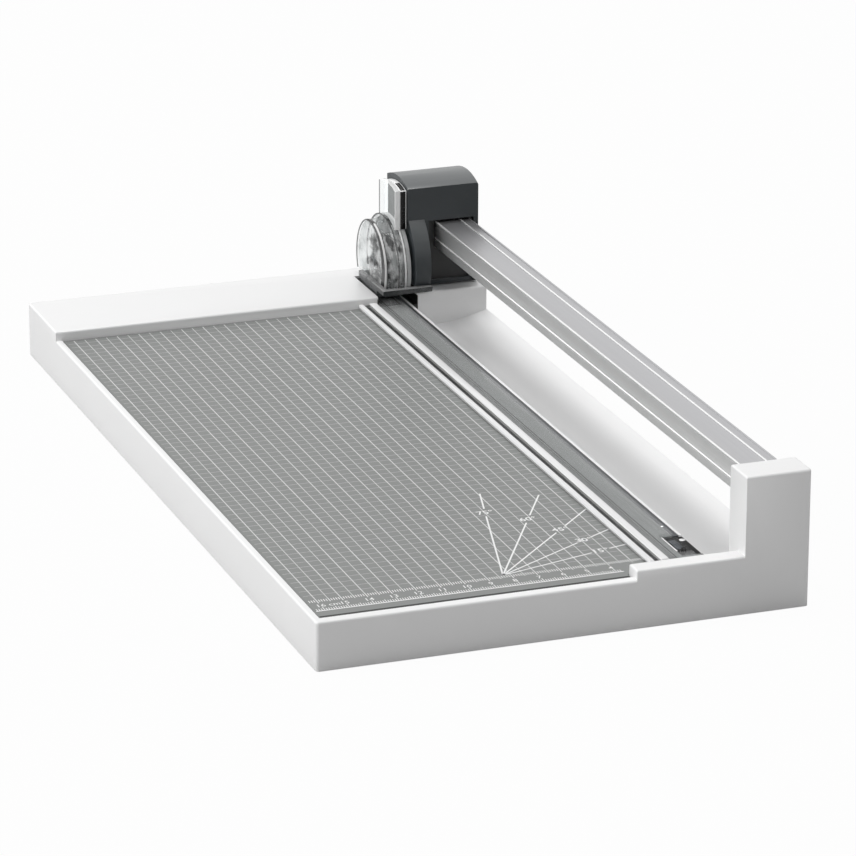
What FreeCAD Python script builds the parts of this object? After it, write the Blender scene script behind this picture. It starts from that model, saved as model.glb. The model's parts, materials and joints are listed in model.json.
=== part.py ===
import FreeCAD, Part
import math
import os
import re
import Sketcher

# Rotary paper trimmer in millimetres, Z up, with its feet standing on Z = 0.
# Every piece is drawn from the front left corner of the tray, X to the right and Y to the back,
# and is then placed so that the middle of the tray's footprint is the origin.

DOC = FreeCAD.newDocument("paper_trimmer")
SHEET = DOC.addObject("Spreadsheet::Sheet", "Sizes")

# Driving sizes
SIZES = {
    # tray moulding
    "tray_width": 204.7,
    "tray_depth": 404.5,
    "tray_rim": 0.3,
    "lip_top": 20.5,
    "side_wall": 2.7,
    "front_wall": 4.2,
    "deck_thick": 2.4,
    "edge_round": 1.0,
    "corner_round": 1.6,
    "bar_depth": 45.5,
    "bar_rise": 4.1,
    "step_width": 73.2,
    "step_depth": 8.2,
    "post_width": 27.7,
    "post_depth": 16.0,
    "post_rise": 37.0,
    "rear_post_depth": 10.7,
    "gutter_edge": 13.4,
    "gutter_start": 9.0,
    "gutter_round": 90.0,
    "channel_inset": 15.7,
    "channel_width": 19.0,
    "channel_reach": 13.0,
    "boss_radius": 3.6,
    "rib_thick": 1.6,
    "rib_height": 8.0,
    # bottom cover and feet
    "cover_lift": 1.3,
    "cover_thick": 1.5,
    "cover_gap": 0.3,
    "pad_radius": 7.0,
    "pad_inset": 14.0,
    "pad_setback": 20.0,
    "cover_screw_radius": 1.5,
    "cover_screw_length": 9.0,
    # printed bed and fixed blade
    "bed_drop": 0.5,
    "bed_thick": 1.0,
    "bed_gap": 0.5,
    "cut_inset": 37.0,
    "fixed_blade_width": 3.9,
    "fixed_blade_height": 6.0,
    "fixed_blade_start": 41.5,
    "fixed_blade_screw": 1.6,
    # rail and its pillars
    "rail_inset": 5.6,
    "rail_width": 16.7,
    "rail_height": 12.3,
    "rail_cover": 2.2,
    "rail_wall": 1.6,
    "rail_core": 6.4,
    "rail_relief": 0.4,
    "rail_ridge": 0.9,
    "slot_gap": 0.3,
    "rail_bolt_radius": 1.5,
    "rail_bolt_bite": 8.0,
    # carriage
    "carriage_inset": 25.5,
    "carriage_depth": 28.0,
    "carriage_lift": 0.9,
    "shoulder_rise": 2.0,
    "shell_rise": 14.9,
    "crown_round": 36.0,
    "shell_wall": 2.2,
    "head_gap": 0.8,
    "bush_left_wall": 3.6,
    "bush_right_wall": 1.3,
    "bush_fit": 0.1,
    "bush_depth": 5.0,
    "bush_spread": 13.0,
    "running_gap": 0.05,
    "free_gap": 0.3,
    "base_thick": 2.0,
    "pin_radius": 1.25,
    "pin_spread": 12.0,
    # cutting head
    "blade_radius": 14.0,
    "blade_thick": 0.4,
    "blade_clear": 0.8,
    "arm_radius": 23.5,
    "arm_bulge": 27.0,
    "arm_gap": 0.75,
    "drum_radius": 22.2,
    "window_radius": 20.0,
    "drum_gap": 0.4,
    "drum_depth": 5.9,
    "window_depth": 5.8,
    "drum_lift": 1.1,
    "drum_wall": 1.2,
    "axle_radius": 2.0,
    "grip_depth": 5.1,
    "grip_cap_thick": 2.4,
    "grip_setback": 4.8,
    "frame_lift": 1.6,
    "frame_thick": 2.6,
    "frame_bar": 2.5,
    "frame_front_reach": 25.2,
    "frame_back_reach": 9.2,
    "frame_lip_reach": 16.0,
    "shoe_front_reach": 17.0,
    "shoe_back_reach": 12.4,
    "shoe_width": 7.4,
    "press_travel": 1.5,
    "strip_travel": 0.5,
    # clear clamp strip
    "strip_inset": 4.3,
    "strip_width": 21.0,
    "strip_lift": 0.6,
    "strip_thick": 1.0,
    "strip_front": 14.0,
    "strip_overrun": 12.0,
    "fixture_width": 8.7,
    "fixture_front": 20.2,
    "fixture_length": 20.8,
    "channel_gap": 0.6,
    "fixture_gap": 0.2,
    "leaf_thick": 0.25,
    "paper_room": 0.5,
}

# Places that follow from the driving sizes
PLACES = {
    "bar_front": "tray_depth - bar_depth",
    "bar_top": "lip_top + bar_rise",
    "step_left": "tray_width - step_width",
    "post_left": "tray_width - post_width",
    "post_top": "lip_top + post_rise",
    "cut_line": "tray_width - cut_inset",
    "channel_left": "cut_line - channel_inset",
    "rail_left": "tray_width - rail_inset - rail_width",
    "rail_top": "post_top - rail_cover",
    "carriage_middle": "tray_depth - carriage_inset",
    "carriage_left": "cut_line + head_gap",
    "carriage_right": "bush_right + bush_fit + shell_wall",
    "carriage_floor": "bar_top + carriage_lift",
    "shoulder": "rail_top + shoulder_rise",
    "shell_top": "shoulder + shell_rise",
    "arm_right": "bush_left - bush_fit - shell_wall",
    "wheel_height": "bed_top + blade_radius + blade_clear",
    "drum_right": "cut_line - drum_gap",
    "drum_step": "drum_right - drum_depth",
    "drum_left": "drum_step - window_depth",
    "drum_floor": "frame_floor + drum_lift",
    "grip_left": "cut_line - grip_depth",
    "grip_split": "grip_left + grip_cap_thick",
    "frame_floor": "bar_top + frame_lift",
    "shoe_floor": "strip_top + press_travel - strip_travel + free_gap",
    "strip_left": "cut_line - strip_inset - strip_width",
    "fixture_left": "cut_line - fixture_width",
    "bed_top": "lip_top - bed_drop",
    "gutter_under": "gutter_start - deck_thick - 0.6",
    "deck_top": "bed_top - bed_thick",
    "cover_top": "cover_lift + cover_thick",
    "fixed_blade_left": "cut_line - fixed_blade_width",
    "fixed_blade_floor": "bed_top - fixed_blade_height",
    "channel_right": "channel_left + channel_width",
    "channel_end": "carriage_middle + channel_reach",
    "rail_right": "rail_left + rail_width",
    "rail_middle": "rail_left + rail_width / 2",
    "rail_floor": "rail_top - rail_height",
    "carriage_front": "carriage_middle - carriage_depth / 2",
    "carriage_back": "carriage_middle + carriage_depth / 2",
    "room_left": "arm_right + shell_wall",
    "room_right": "carriage_right - shell_wall",
    "room_top": "shell_top - shell_wall - 0.7",
    "loft_floor": "shoulder + shell_wall",
    "bush_left": "rail_left - bush_left_wall",
    "bush_right": "rail_left + rail_width + bush_right_wall",
    "base_top": "carriage_floor + base_thick",
    "blade_left": "cut_line + running_gap",
    "blade_right": "blade_left + blade_thick",
    "arm_left": "blade_right + arm_gap",
    "hub_left": "drum_step + 1.6",
    "strip_right": "strip_left + strip_width",
    "strip_floor": "bed_top + strip_lift",
    "strip_top": "strip_floor + strip_thick",
    "strip_back": "bar_front + strip_overrun",
}

HALF = math.sqrt(0.5)


def fill_sheet():
    """One row for each driving size, the name beside the number that bears it."""
    for row, (name, value) in enumerate(SIZES.items(), start=1):
        SHEET.set("A%d" % row, name)
        SHEET.set("B%d" % row, str(value))
        SHEET.setAlias("B%d" % row, name)
    DOC.recompute()


def ex(text):
    """Writes a size out for the sheet, with each derived place put in full."""
    word = re.compile(r"[a-z][a-z_]*")
    while any(name in PLACES for name in word.findall(text)):
        text = word.sub(lambda m: "(%s)" % PLACES[m.group()] if m.group() in PLACES else m.group(), text)
    return word.sub(lambda m: "Sizes." + m.group() if m.group() in SIZES else m.group(), text)


def value(text):
    """The number that a written size has now."""
    found = SHEET.evalExpression(ex(text))
    return float(getattr(found, "Value", found))


def bind(thing, **sizes):
    """Ties properties to the sheet, with two underscores for each dot."""
    for name, text in sizes.items():
        thing.setExpression(name.replace("__", "."), ex(text))


def settle(thing, label):
    """Names a finished piece and moves the tray's middle to the origin."""
    thing.Label = label
    bind(thing, Placement__Base__x="-tray_width / 2", Placement__Base__y="-tray_depth / 2")
    return thing


# Sketches and features of bodies

def place_sketch(body, plane, start):
    """A sketch on one of the body's own planes, moved along that plane's normal to start."""
    sketch = body.newObject("Sketcher::SketchObject", body.Label + "_sketch")
    origin_plane = [f for f in body.Origin.OriginFeatures if f.Role == plane + "_Plane"][0]
    sketch.AttachmentSupport = (origin_plane, "")
    sketch.MapMode = "FlatFace"
    sign = "-" if plane == "XZ" else ""
    bind(sketch, AttachmentOffset__Base__z="%s(%s)" % (sign, start))
    return sketch


def pin_down(sketch, geometry, position, across, along):
    """Holds one point of a sketch at two written sizes from the sketch's origin."""
    for kind, axis, text in (("DistanceX", -2, across), ("DistanceY", -1, along)):
        if abs(value(text)) < 1e-9:
            sketch.addConstraint(Sketcher.Constraint("PointOnObject", geometry, position, axis))
        else:
            index = sketch.addConstraint(Sketcher.Constraint(kind, -1, 1, geometry, position, value(text)))
            sketch.setExpression("Constraints[%d]" % index, ex(text))


def arc_between(a, b, radius):
    """An arc from a to b that turns left with a positive radius, and right with a negative one."""
    start, end = (a, b) if radius > 0 else (b, a)
    chord = end.sub(start)
    rise = math.sqrt(max(radius * radius - (chord.Length / 2) ** 2, 0.0))
    side = FreeCAD.Vector(-chord.y, chord.x, 0).normalize()
    centre = start.add(chord.multiply(0.5)).add(side.multiply(rise))
    first = math.atan2(start.y - centre.y, start.x - centre.x)
    last = math.atan2(end.y - centre.y, end.x - centre.x)
    circle = Part.Circle(centre, FreeCAD.Vector(0, 0, 1), abs(radius))
    return Part.ArcOfCircle(circle, first, last if last > first else last + 2 * math.pi)


def draw_outline(sketch, corners):
    """A closed outline; a corner's third size is the radius of the arc that leaves it."""
    points = [FreeCAD.Vector(value(c[0]), value(c[1]), 0) for c in corners]
    pieces = []
    for number, corner in enumerate(corners):
        a = points[number]
        b = points[(number + 1) % len(points)]
        if len(corner) == 3:
            radius = value(corner[2])
            index = sketch.addGeometry(arc_between(a, b, radius), False)
            hold = sketch.addConstraint(Sketcher.Constraint("Radius", index, abs(radius)))
            sketch.setExpression("Constraints[%d]" % hold, ex("abs(%s)" % corner[2]))
            pieces.append((index, 1, 2) if radius > 0 else (index, 2, 1))
        else:
            pieces.append((sketch.addGeometry(Part.LineSegment(a, b), False), 1, 2))
    for number, corner in enumerate(corners):
        before = pieces[number - 1]
        after = pieces[number]
        sketch.addConstraint(Sketcher.Constraint("Coincident", before[0], before[2], after[0], after[1]))
        pin_down(sketch, after[0], after[1], corner[0], corner[1])


def draw_circle(sketch, across, along, radius):
    """A circle with its middle and radius tied to written sizes."""
    centre = FreeCAD.Vector(value(across), value(along), 0)
    index = sketch.addGeometry(Part.Circle(centre, FreeCAD.Vector(0, 0, 1), value(radius)), False)
    hold = sketch.addConstraint(Sketcher.Constraint("Radius", index, value(radius)))
    sketch.setExpression("Constraints[%d]" % hold, ex(radius))
    pin_down(sketch, index, 3, across, along)


def rect(left, right, low, high):
    """The four corners of a rectangle in written sizes."""
    return [(left, low), (right, low), (right, high), (left, high)]


def carry(body, plane, start, end, loops=(), circles=(), cut=False):
    """A pad or a pocket of some loops from start to end along the axis across the plane."""
    DOC.recompute()
    volume = body.Shape.Volume if body.Tip else 0.0
    sketch = place_sketch(body, plane, start)
    for loop in loops:
        draw_outline(sketch, loop)
    for circle in circles:
        draw_circle(sketch, *circle)
    kind = "PartDesign::Pocket" if cut else "PartDesign::Pad"
    feature = body.newObject(kind, body.Label + ("_cut" if cut else "_pad"))
    feature.Profile = sketch
    feature.Reversed = (plane == "XZ") != cut
    bind(feature, Length="(%s) - (%s)" % (end, start))
    body.Tip = feature
    DOC.recompute()
    change = body.Shape.Volume - volume
    if (change > -1e-6 and cut) or (change < 1e-6 and not cut):
        raise RuntimeError("%s: %s changed nothing" % (body.Label, feature.Name))
    return feature


def new_body(label):
    """An empty body at the trimmer's place."""
    return settle(DOC.addObject("PartDesign::Body", label), label)


def round_edges(body, size, wanted):
    """A fillet on the edges of the body that a test picks."""
    DOC.recompute()
    base = body.Tip
    names = ["Edge%d" % n for n, edge in enumerate(base.Shape.Edges, start=1) if wanted(edge)]
    fillet = body.newObject("PartDesign::Fillet", body.Label + "_round")
    fillet.Base = (base, names)
    bind(fillet, Radius=size)
    body.Tip = fillet
    DOC.recompute()
    return fillet


def at(edge, x=None, y=None, z=None):
    """Whether a whole edge lies at the written places."""
    box = edge.BoundBox
    spans = (("X", x), ("Y", y), ("Z", z))
    for axis, text in spans:
        if text is None:
            continue
        want = value(text)
        if abs(getattr(box, axis + "Min") - want) > 1e-4 or abs(getattr(box, axis + "Max") - want) > 1e-4:
            return False
    return True


# Primitives and booleans

AXES = {
    "X": FreeCAD.Rotation(FreeCAD.Vector(0, 1, 0), 90),
    "Y": FreeCAD.Rotation(FreeCAD.Vector(1, 0, 0), -90),
    "Z": FreeCAD.Rotation(),
}


def block(name, x, y, z):
    """A box between pairs of written sizes on the three axes."""
    piece = DOC.addObject("Part::Box", name)
    bind(piece, Placement__Base__x=x[0], Placement__Base__y=y[0], Placement__Base__z=z[0])
    bind(piece, Length="(%s) - (%s)" % (x[1], x[0]), Width="(%s) - (%s)" % (y[1], y[0]))
    bind(piece, Height="(%s) - (%s)" % (z[1], z[0]))
    return piece


def rod(name, axis, radius, start, end, middle):
    """A cylinder along an axis; middle holds its place on the other two axes, in order."""
    piece = DOC.addObject("Part::Cylinder", name)
    piece.Placement = FreeCAD.Placement(FreeCAD.Vector(), AXES[axis])
    places = dict(zip([a for a in "xyz" if a != axis.lower()], middle))
    places[axis.lower()] = start
    bind(piece, Placement__Base__x=places["x"], Placement__Base__y=places["y"])
    bind(piece, Placement__Base__z=places["z"], Radius=radius, Height="(%s) - (%s)" % (end, start))
    return piece


def fuse(name, pieces):
    """Several shapes joined into one."""
    joined = DOC.addObject("Part::MultiFuse", name)
    joined.Shapes = pieces
    joined.Refine = True
    return joined


def cut(name, base, tool):
    """One shape with another taken away."""
    rest = DOC.addObject("Part::Cut", name)
    rest.Base = base
    rest.Tool = tool
    return rest


def common(name, base, tool):
    """What two shapes share."""
    shared = DOC.addObject("Part::Common", name)
    shared.Base = base
    shared.Tool = tool
    return shared


def group(label, pieces):
    """Alike loose pieces kept together under one name."""
    kept = DOC.addObject("Part::Compound", label)
    kept.Links = pieces
    return settle(kept, label)


def screw(name, axis, middle, under_head, tip, radius, head_radius, head):
    """A pan head screw with a cross recess; head is how far its head stands off, with its sign."""
    top = "(%s) + (%s)" % (under_head, head)
    first, last = (top, under_head) if value(head) < 0 else (under_head, top)
    low, high = (under_head, tip) if value(head) < 0 else (tip, under_head)
    head_piece = rod(name + "_head", axis, head_radius, first, last, middle)
    shank = rod(name + "_shank", axis, radius, low, high, middle)
    whole = fuse(name + "_whole", [head_piece, shank])
    slot_start, slot_end = (first, "(%s) + 0.6" % first) if value(head) < 0 else ("(%s) - 0.6" % last, last)
    wide = "(%s) * 0.55" % head_radius
    bars = []
    for number, (long_half, short_half) in enumerate(((wide, "0.25"), ("0.25", wide))):
        spans = {}
        others = [a for a in "XYZ" if a != axis]
        for other, place, half in zip(others, middle, (long_half, short_half)):
            spans[other] = ("(%s) - (%s)" % (place, half), "(%s) + (%s)" % (place, half))
        spans[axis] = (slot_start, slot_end)
        bars.append(block("%s_slot_%d" % (name, number), spans["X"], spans["Y"], spans["Z"]))
    return cut(name, whole, fuse(name + "_recess", bars))


# Tray, cover and feet

REAR_SCREW = "tray_depth - 14"
COVER_SCREWS = [
    (x, y)
    for x in ("pad_inset + 16", "fixed_blade_left - 22")
    for y in ("front_wall + 12", "bar_front / 3", "bar_front * 2 / 3", REAR_SCREW)
]


def tray_masses(body):
    """The slab with its raised back bar, front step and the two posts."""
    carry(body, "XY", "tray_rim", "lip_top", [rect("0", "tray_width", "0", "tray_depth")])
    carry(body, "XY", "tray_rim", "bar_top", [rect("0", "tray_width", "bar_front", "tray_depth")])
    step = rect("step_left", "tray_width", "0", "step_depth")
    carry(body, "XY", "tray_rim", "bar_top", [step])
    front_post = rect("post_left", "tray_width", "0", "post_depth")
    rear_post = rect("post_left", "tray_width", "tray_depth - rear_post_depth", "tray_depth")
    carry(body, "XY", "tray_rim", "post_top", [front_post, rear_post])


def tray_rounds(body):
    """Soft outer corners and top edges, as a moulding has them."""
    corners = [("0", "0"), ("tray_width", "0"), ("tray_width", "tray_depth"), ("0", "tray_depth")]
    round_edges(body, "corner_round", lambda e: any(at(e, x=x, y=y) for x, y in corners))

    def soft_top(edge):
        box = edge.BoundBox
        level = box.ZMax - box.ZMin < 1e-4
        tops = [value(name) for name in ("lip_top", "bar_top", "post_top")]
        if not level or min(abs(box.ZMax - top) for top in tops) > 1e-4:
            return False
        joint = at(edge, y="bar_front", z="lip_top") or at(edge, y="step_depth", z="lip_top")
        joint = joint or at(edge, x="step_left", z="lip_top") or at(edge, x="post_left", z="bar_top")
        joint = joint or at(edge, y="post_depth", z="lip_top") or at(edge, x="post_left", z="lip_top")
        joint = joint or at(edge, y="tray_depth - rear_post_depth", z="bar_top")
        return not joint

    round_edges(body, "edge_round", soft_top)


def tray_recesses(body):
    """The bed's seat, the fixed blade's groove, the waste gutter and the channel in the bar."""
    carry(body, "XY", "deck_top", "lip_top + 1", [[
        ("side_wall", "front_wall"),
        ("step_left", "front_wall"),
        ("step_left", "step_depth"),
        ("cut_line", "step_depth"),
        ("cut_line", "bar_front"),
        ("side_wall", "bar_front"),
    ]], cut=True)
    carry(body, "XZ", "post_depth", "bar_front", [[
        ("cut_line", "gutter_start", "gutter_round"),
        ("tray_width", "gutter_edge"),
        ("tray_width + 1", "gutter_edge"),
        ("tray_width + 1", "lip_top + 1"),
        ("cut_line", "lip_top + 1"),
    ]], cut=True)
    carry(body, "XZ", "step_depth", "post_depth", [[
        ("cut_line", "gutter_start"),
        ("post_left", "gutter_start"),
        ("post_left", "lip_top + 1"),
        ("cut_line", "lip_top + 1"),
    ]], cut=True)
    carry(body, "XY", "deck_top", "bar_top + 1",
          [rect("channel_left", "channel_right", "bar_front - 1", "channel_end")], cut=True)
    carry(body, "XY", "fixed_blade_floor", "deck_top + 1",
          [rect("fixed_blade_left", "cut_line", "fixed_blade_start", "channel_end")], cut=True)


def tray_hollows(body):
    """The moulding is open below and keeps an even wall."""
    ledge = "fixed_blade_left - deck_thick"
    carry(body, "XY", "tray_rim", "gutter_under",
          [rect("side_wall", "tray_width - side_wall", "side_wall", "tray_depth - side_wall")], cut=True)
    carry(body, "XY", "tray_rim", "deck_top - deck_thick",
          [rect("side_wall", ledge, "front_wall", "tray_depth - side_wall")], cut=True)
    carry(body, "XY", "tray_rim", "fixed_blade_floor - deck_thick",
          [rect(ledge + " - 1", "channel_right + side_wall", "bar_front + side_wall",
                "tray_depth - side_wall")], cut=True)
    carry(body, "XY", "tray_rim", "bar_top - deck_thick", [
        rect("side_wall", "channel_left - side_wall", "bar_front + side_wall", "tray_depth - side_wall"),
        rect("channel_right + side_wall", "tray_width - side_wall", "bar_front + side_wall",
             "tray_depth - side_wall"),
    ], cut=True)
    hollow_left = "post_left + side_wall"
    hollow_right = "tray_width - side_wall"
    carry(body, "XY", "tray_rim", "rail_top + free_gap", [
        rect(hollow_left, hollow_right, "side_wall", "post_depth - side_wall"),
        rect(hollow_left, hollow_right, "tray_depth - rear_post_depth + side_wall", "tray_depth - side_wall"),
    ], cut=True)
    slot_left = "rail_left - slot_gap"
    slot_right = "rail_right + slot_gap"
    rear_face = "tray_depth - rear_post_depth"
    carry(body, "XY", "gutter_edge", "rail_top + slot_gap", [
        rect(slot_left, slot_right, "post_depth - side_wall - 1", "post_depth"),
        rect(slot_left, slot_right, rear_face, rear_face + " + side_wall + 1"),
    ], cut=True)


def tray_bosses(body):
    """Screw bosses and stiffening ribs under the deck."""
    pilot = "cover_screw_radius + 0.03"
    for top, wanted in (("deck_top", lambda y: y != REAR_SCREW), ("bar_top", lambda y: y == REAR_SCREW)):
        carry(body, "XY", "cover_top", top + " - deck_thick / 2",
              circles=[(x, y, "boss_radius") for x, y in COVER_SCREWS if wanted(y)])
    ribs = [
        rect("side_wall / 2", "fixed_blade_left - deck_thick / 2", y + " - rib_thick / 2", y + " + rib_thick / 2")
        for y in ("bar_front / 6", "bar_front / 2", "bar_front * 5 / 6")
    ]
    carry(body, "XY", "deck_top - deck_thick - rib_height", "deck_top - deck_thick / 2", ribs)
    carry(body, "XY", "cover_top", "cover_top + cover_screw_length",
          circles=[(x, y, pilot) for x, y in COVER_SCREWS], cut=True)


def make_tray():
    """White moulded tray with the posts that hold the rail."""
    body = new_body("base_tray")
    tray_masses(body)
    tray_rounds(body)
    tray_recesses(body)
    tray_hollows(body)
    tray_bosses(body)
    for x, y in FIXED_BLADE_SCREWS:
        carry(body, "XY", "gutter_under", "fixed_blade_floor",
              circles=[(x, y, "fixed_blade_screw + running_gap")], cut=True)


FIXED_BLADE_SCREWS = [
    ("fixed_blade_left + fixed_blade_width / 2", y)
    for y in ("fixed_blade_start + 12", "bar_front / 3 + 12", "bar_front * 2 / 3", "bar_front - 8")
]
PILLARS = (("front", "post_depth / 2"), ("rear", "tray_depth - rear_post_depth / 2"))


def make_cover():
    """Bottom cover that closes the tray and carries the feet."""
    body = new_body("bottom_cover")
    inset = "side_wall + cover_gap"
    carry(body, "XY", "cover_lift", "cover_top",
          [rect(inset, "tray_width - " + "side_wall - cover_gap", inset, "tray_depth - side_wall - cover_gap")])
    holes = [(x, y, "cover_screw_radius + 0.2") for x, y in COVER_SCREWS]
    bolts = [("rail_middle", y, "rail_bolt_radius + 0.2") for name, y in PILLARS]
    carry(body, "XY", "cover_lift - 1", "cover_top + 1", circles=holes + bolts, cut=True)


def make_feet():
    """Four round rubber feet under the corners of the cover."""
    for depth, y in (("front", "pad_setback"), ("rear", "tray_depth - pad_setback")):
        for side, x in (("left", "pad_inset"), ("right", "tray_width - pad_inset")):
            name = "foot_%s_%s" % (depth, side)
            pad = rod(name + "_pad", "Z", "pad_radius", "0", "cover_lift", (x, y))
            dish = rod(name + "_dish", "Z", "pad_radius * 0.45", "-1", "cover_lift * 0.4", (x, y))
            settle(cut(name, pad, dish), name)


def make_cover_screws():
    """Self tapping screws that hold the cover to the bosses."""
    screws = [
        screw("cover_screw_%d" % n, "Z", (x, y), "cover_lift", "cover_top + cover_screw_length - 0.5",
              "cover_screw_radius", "cover_screw_radius * 1.9", "-0.9")
        for n, (x, y) in enumerate(COVER_SCREWS, start=1)
    ]
    group("cover_screws", screws)


# Bed, fixed blade and clamp strip

def make_bed():
    """Printed steel bed plate, with its corner cut away for the front step and the strip's fixture."""
    body = new_body("bed_plate")
    left = "side_wall + bed_gap"
    front = "front_wall + bed_gap"
    right = "fixed_blade_left - fixture_gap"
    notch = "fixture_left - fixture_gap"
    carry(body, "XY", "deck_top", "bed_top", [[
        (left, front),
        ("step_left - bed_gap", front),
        ("step_left - bed_gap", "step_depth + bed_gap"),
        ("cut_line - fixture_gap", "step_depth + bed_gap"),
        ("cut_line - fixture_gap", "fixture_front - fixture_gap"),
        (notch, "fixture_front - fixture_gap"),
        (notch, "fixed_blade_start"),
        (right, "fixed_blade_start"),
        (right, "bar_front - bed_gap"),
        (left, "bar_front - bed_gap"),
    ]])


def make_fixed_blade():
    """Ground steel bar whose right edge is the cutting line, screwed up from below."""
    body = new_body("fixed_blade")
    carry(body, "XZ", "fixed_blade_start + 0.1", "channel_end - 0.2",
          [rect("fixed_blade_left + 0.05", "cut_line", "fixed_blade_floor", "bed_top")])
    holes = [(x, y, "fixed_blade_screw") for x, y in FIXED_BLADE_SCREWS]
    carry(body, "XY", "fixed_blade_floor - 1", "fixed_blade_floor + 4", circles=holes, cut=True)
    screws = [
        screw("fixed_blade_screw_%d" % n, "Z", (x, y), "gutter_under", "fixed_blade_floor + 3.6",
              "fixed_blade_screw - 0.02", "fixed_blade_screw * 1.7", "-1.2")
        for n, (x, y) in enumerate(FIXED_BLADE_SCREWS, start=1)
    ]
    group("fixed_blade_screws", screws)


def make_strip():
    """Clear strip that holds the paper down beside the cut, with two stiffening ribs on its left."""
    body = new_body("clamp_strip")
    carry(body, "XZ", "strip_front", "strip_back", [[
        ("strip_left", "strip_floor"),
        ("strip_right", "strip_floor"),
        ("strip_right", "strip_top"),
        ("strip_left + 12.3", "strip_top"),
        ("strip_left + 12.1", "strip_top - 0.25"),
        ("strip_left + 11.9", "strip_top"),
        ("strip_left + 8.6", "strip_top"),
        ("strip_left + 8.3", "strip_top + 0.6"),
        ("strip_left + 5.4", "strip_top + 0.6"),
        ("strip_left + 5.1", "strip_top - 0.2"),
        ("strip_left + 2.4", "strip_top - 0.2"),
        ("strip_left + 2.1", "strip_top + 0.5"),
        ("strip_left + 0.3", "strip_top + 0.5"),
    ]])
    return body


def fixture(name, front):
    """One end of the strip's hold: a black seat with its guide pin, and a bowed leaf spring."""
    back = front + " + fixture_length - 0.4"
    right = "cut_line - 0.4" if name == "front" else "fixed_blade_left - 0.1"
    pin_x = "fixture_left + 2.2"
    pin_y = front + " + 4"
    seat = block(name + "_seat_plate", ("fixture_left", right), (front, back), ("deck_top", "bed_top - 0.2"))
    pin = rod(name + "_seat_pin", "Z", "1.1", "bed_top - 0.5", "strip_floor + 0.75", (pin_x, pin_y))
    settle(fuse(name + "_strip_seat", [seat, pin]), name + "_strip_seat")
    leaf = new_body(name + "_leaf_spring")
    low = "bed_top - 0.2"
    high = "strip_floor - leaf_thick - 0.1"
    start = front + " + 7"
    end = front + " + 17"
    middle = front + " + 12"
    carry(leaf, "YZ", "fixture_left + 0.6", "fixture_left + 3.8", [[
        (start, low),
        (start + " + 1.6", low),
        (middle, high),
        (end + " - 1.6", low),
        (end, low),
        (end, low + " + leaf_thick"),
        (end + " - 1.5", low + " + leaf_thick"),
        (middle, high + " + leaf_thick"),
        (start + " + 1.5", low + " + leaf_thick"),
        (start, low + " + leaf_thick"),
    ]])


def make_fixtures():
    """Both ends of the strip are held alike, in front on the deck and behind in the channel."""
    strip = make_strip()
    fixture("front", "fixture_front")
    rear = "bar_front + 0.3"
    pins = [("fixture_left + 2.2", "fixture_front + 4", "1.15")]
    carry(strip, "XY", "strip_floor - 1", "strip_top + 1", circles=pins, cut=True)
    carry(strip, "XY", "strip_floor - 1", "strip_top + 1", [rect(
        "strip_left - 1", "channel_left + channel_gap", "bar_front - channel_gap", "strip_back + 1")], cut=True)
    seat = block("rear_seat_plate", ("channel_left + 0.3", "fixed_blade_left - 0.1"),
                 (rear, "strip_back + 3"), ("deck_top", "bed_top - 0.2"))
    wall = block("rear_seat_wall", ("channel_left + 0.3", "cut_line - 0.5"),
                 ("strip_back + 0.5", "strip_back + 3"), ("bed_top + 0.1", "strip_top - paper_room"))
    post = block("rear_seat_post", ("channel_left + 0.3", "fixed_blade_left - 0.1"),
                 ("strip_back + 0.5", "strip_back + 3"), ("bed_top - 0.3", "bed_top + 0.2"))
    settle(fuse("rear_strip_seat", [seat, wall, post]), "rear_strip_seat")
    leaf = new_body("rear_leaf_spring")
    low = "bed_top - 0.2"
    high = "strip_floor - leaf_thick - 0.1"
    carry(leaf, "YZ", "fixture_left - 4", "fixture_left + 3", [[
        (rear + " + 1", low),
        (rear + " + 2.4", low),
        (rear + " + 6", high),
        (rear + " + 9.6", low),
        (rear + " + 11", low),
        (rear + " + 11", low + " + leaf_thick"),
        (rear + " + 9.7", low + " + leaf_thick"),
        (rear + " + 6", high + " + leaf_thick"),
        (rear + " + 2.3", low + " + leaf_thick"),
        (rear + " + 1", low + " + leaf_thick"),
    ]])


# Rail and pillars

def make_rail():
    """Aluminium extrusion with a solid core, two hollows and raised running ridges."""
    body = new_body("rail")
    low, top = "rail_floor", "rail_top"
    left, right = "rail_left", "rail_right"
    step = "rail_relief"
    ridge = "rail_ridge"
    outer = [
        (left, low), (right, low),
        (right, low + " + 4"), (right + " - rail_relief", low + " + 4.3"),
        (right + " - rail_relief", top + " - rail_ridge"), (right, top + " - rail_ridge"),
        (right, top), (right + " - rail_ridge", top),
        (right + " - rail_ridge", top + " - rail_relief"), (right + " - 4.2", top + " - rail_relief"),
        (right + " - 4.2", top), (right + " - 4.2 - rail_ridge", top),
        (right + " - 4.2 - rail_ridge", top + " - rail_relief"), (left + " + rail_ridge", top + " - rail_relief"),
        (left + " + rail_ridge", top), (left, top),
        (left, top + " - rail_ridge"), (left + " + rail_relief", top + " - rail_ridge"),
        (left + " + rail_relief", low + " + 4.3"), (left, low + " + 4"),
    ]
    bore_low = "rail_floor + rail_wall"
    bore_top = "rail_top - rail_wall - rail_relief"
    carry(body, "XZ", "side_wall + 0.5", "tray_depth - side_wall - 0.5", [
        outer,
        rect("rail_left + rail_wall + rail_relief", "rail_middle - rail_core / 2", bore_low, bore_top),
        rect("rail_middle + rail_core / 2", "rail_right - rail_wall - rail_relief", bore_low, bore_top),
    ])
    carry(body, "XY", "rail_floor - 1", "rail_floor + rail_bolt_bite",
          circles=[("rail_middle", y, "rail_bolt_radius + 0.02") for name, y in PILLARS], cut=True)


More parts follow.
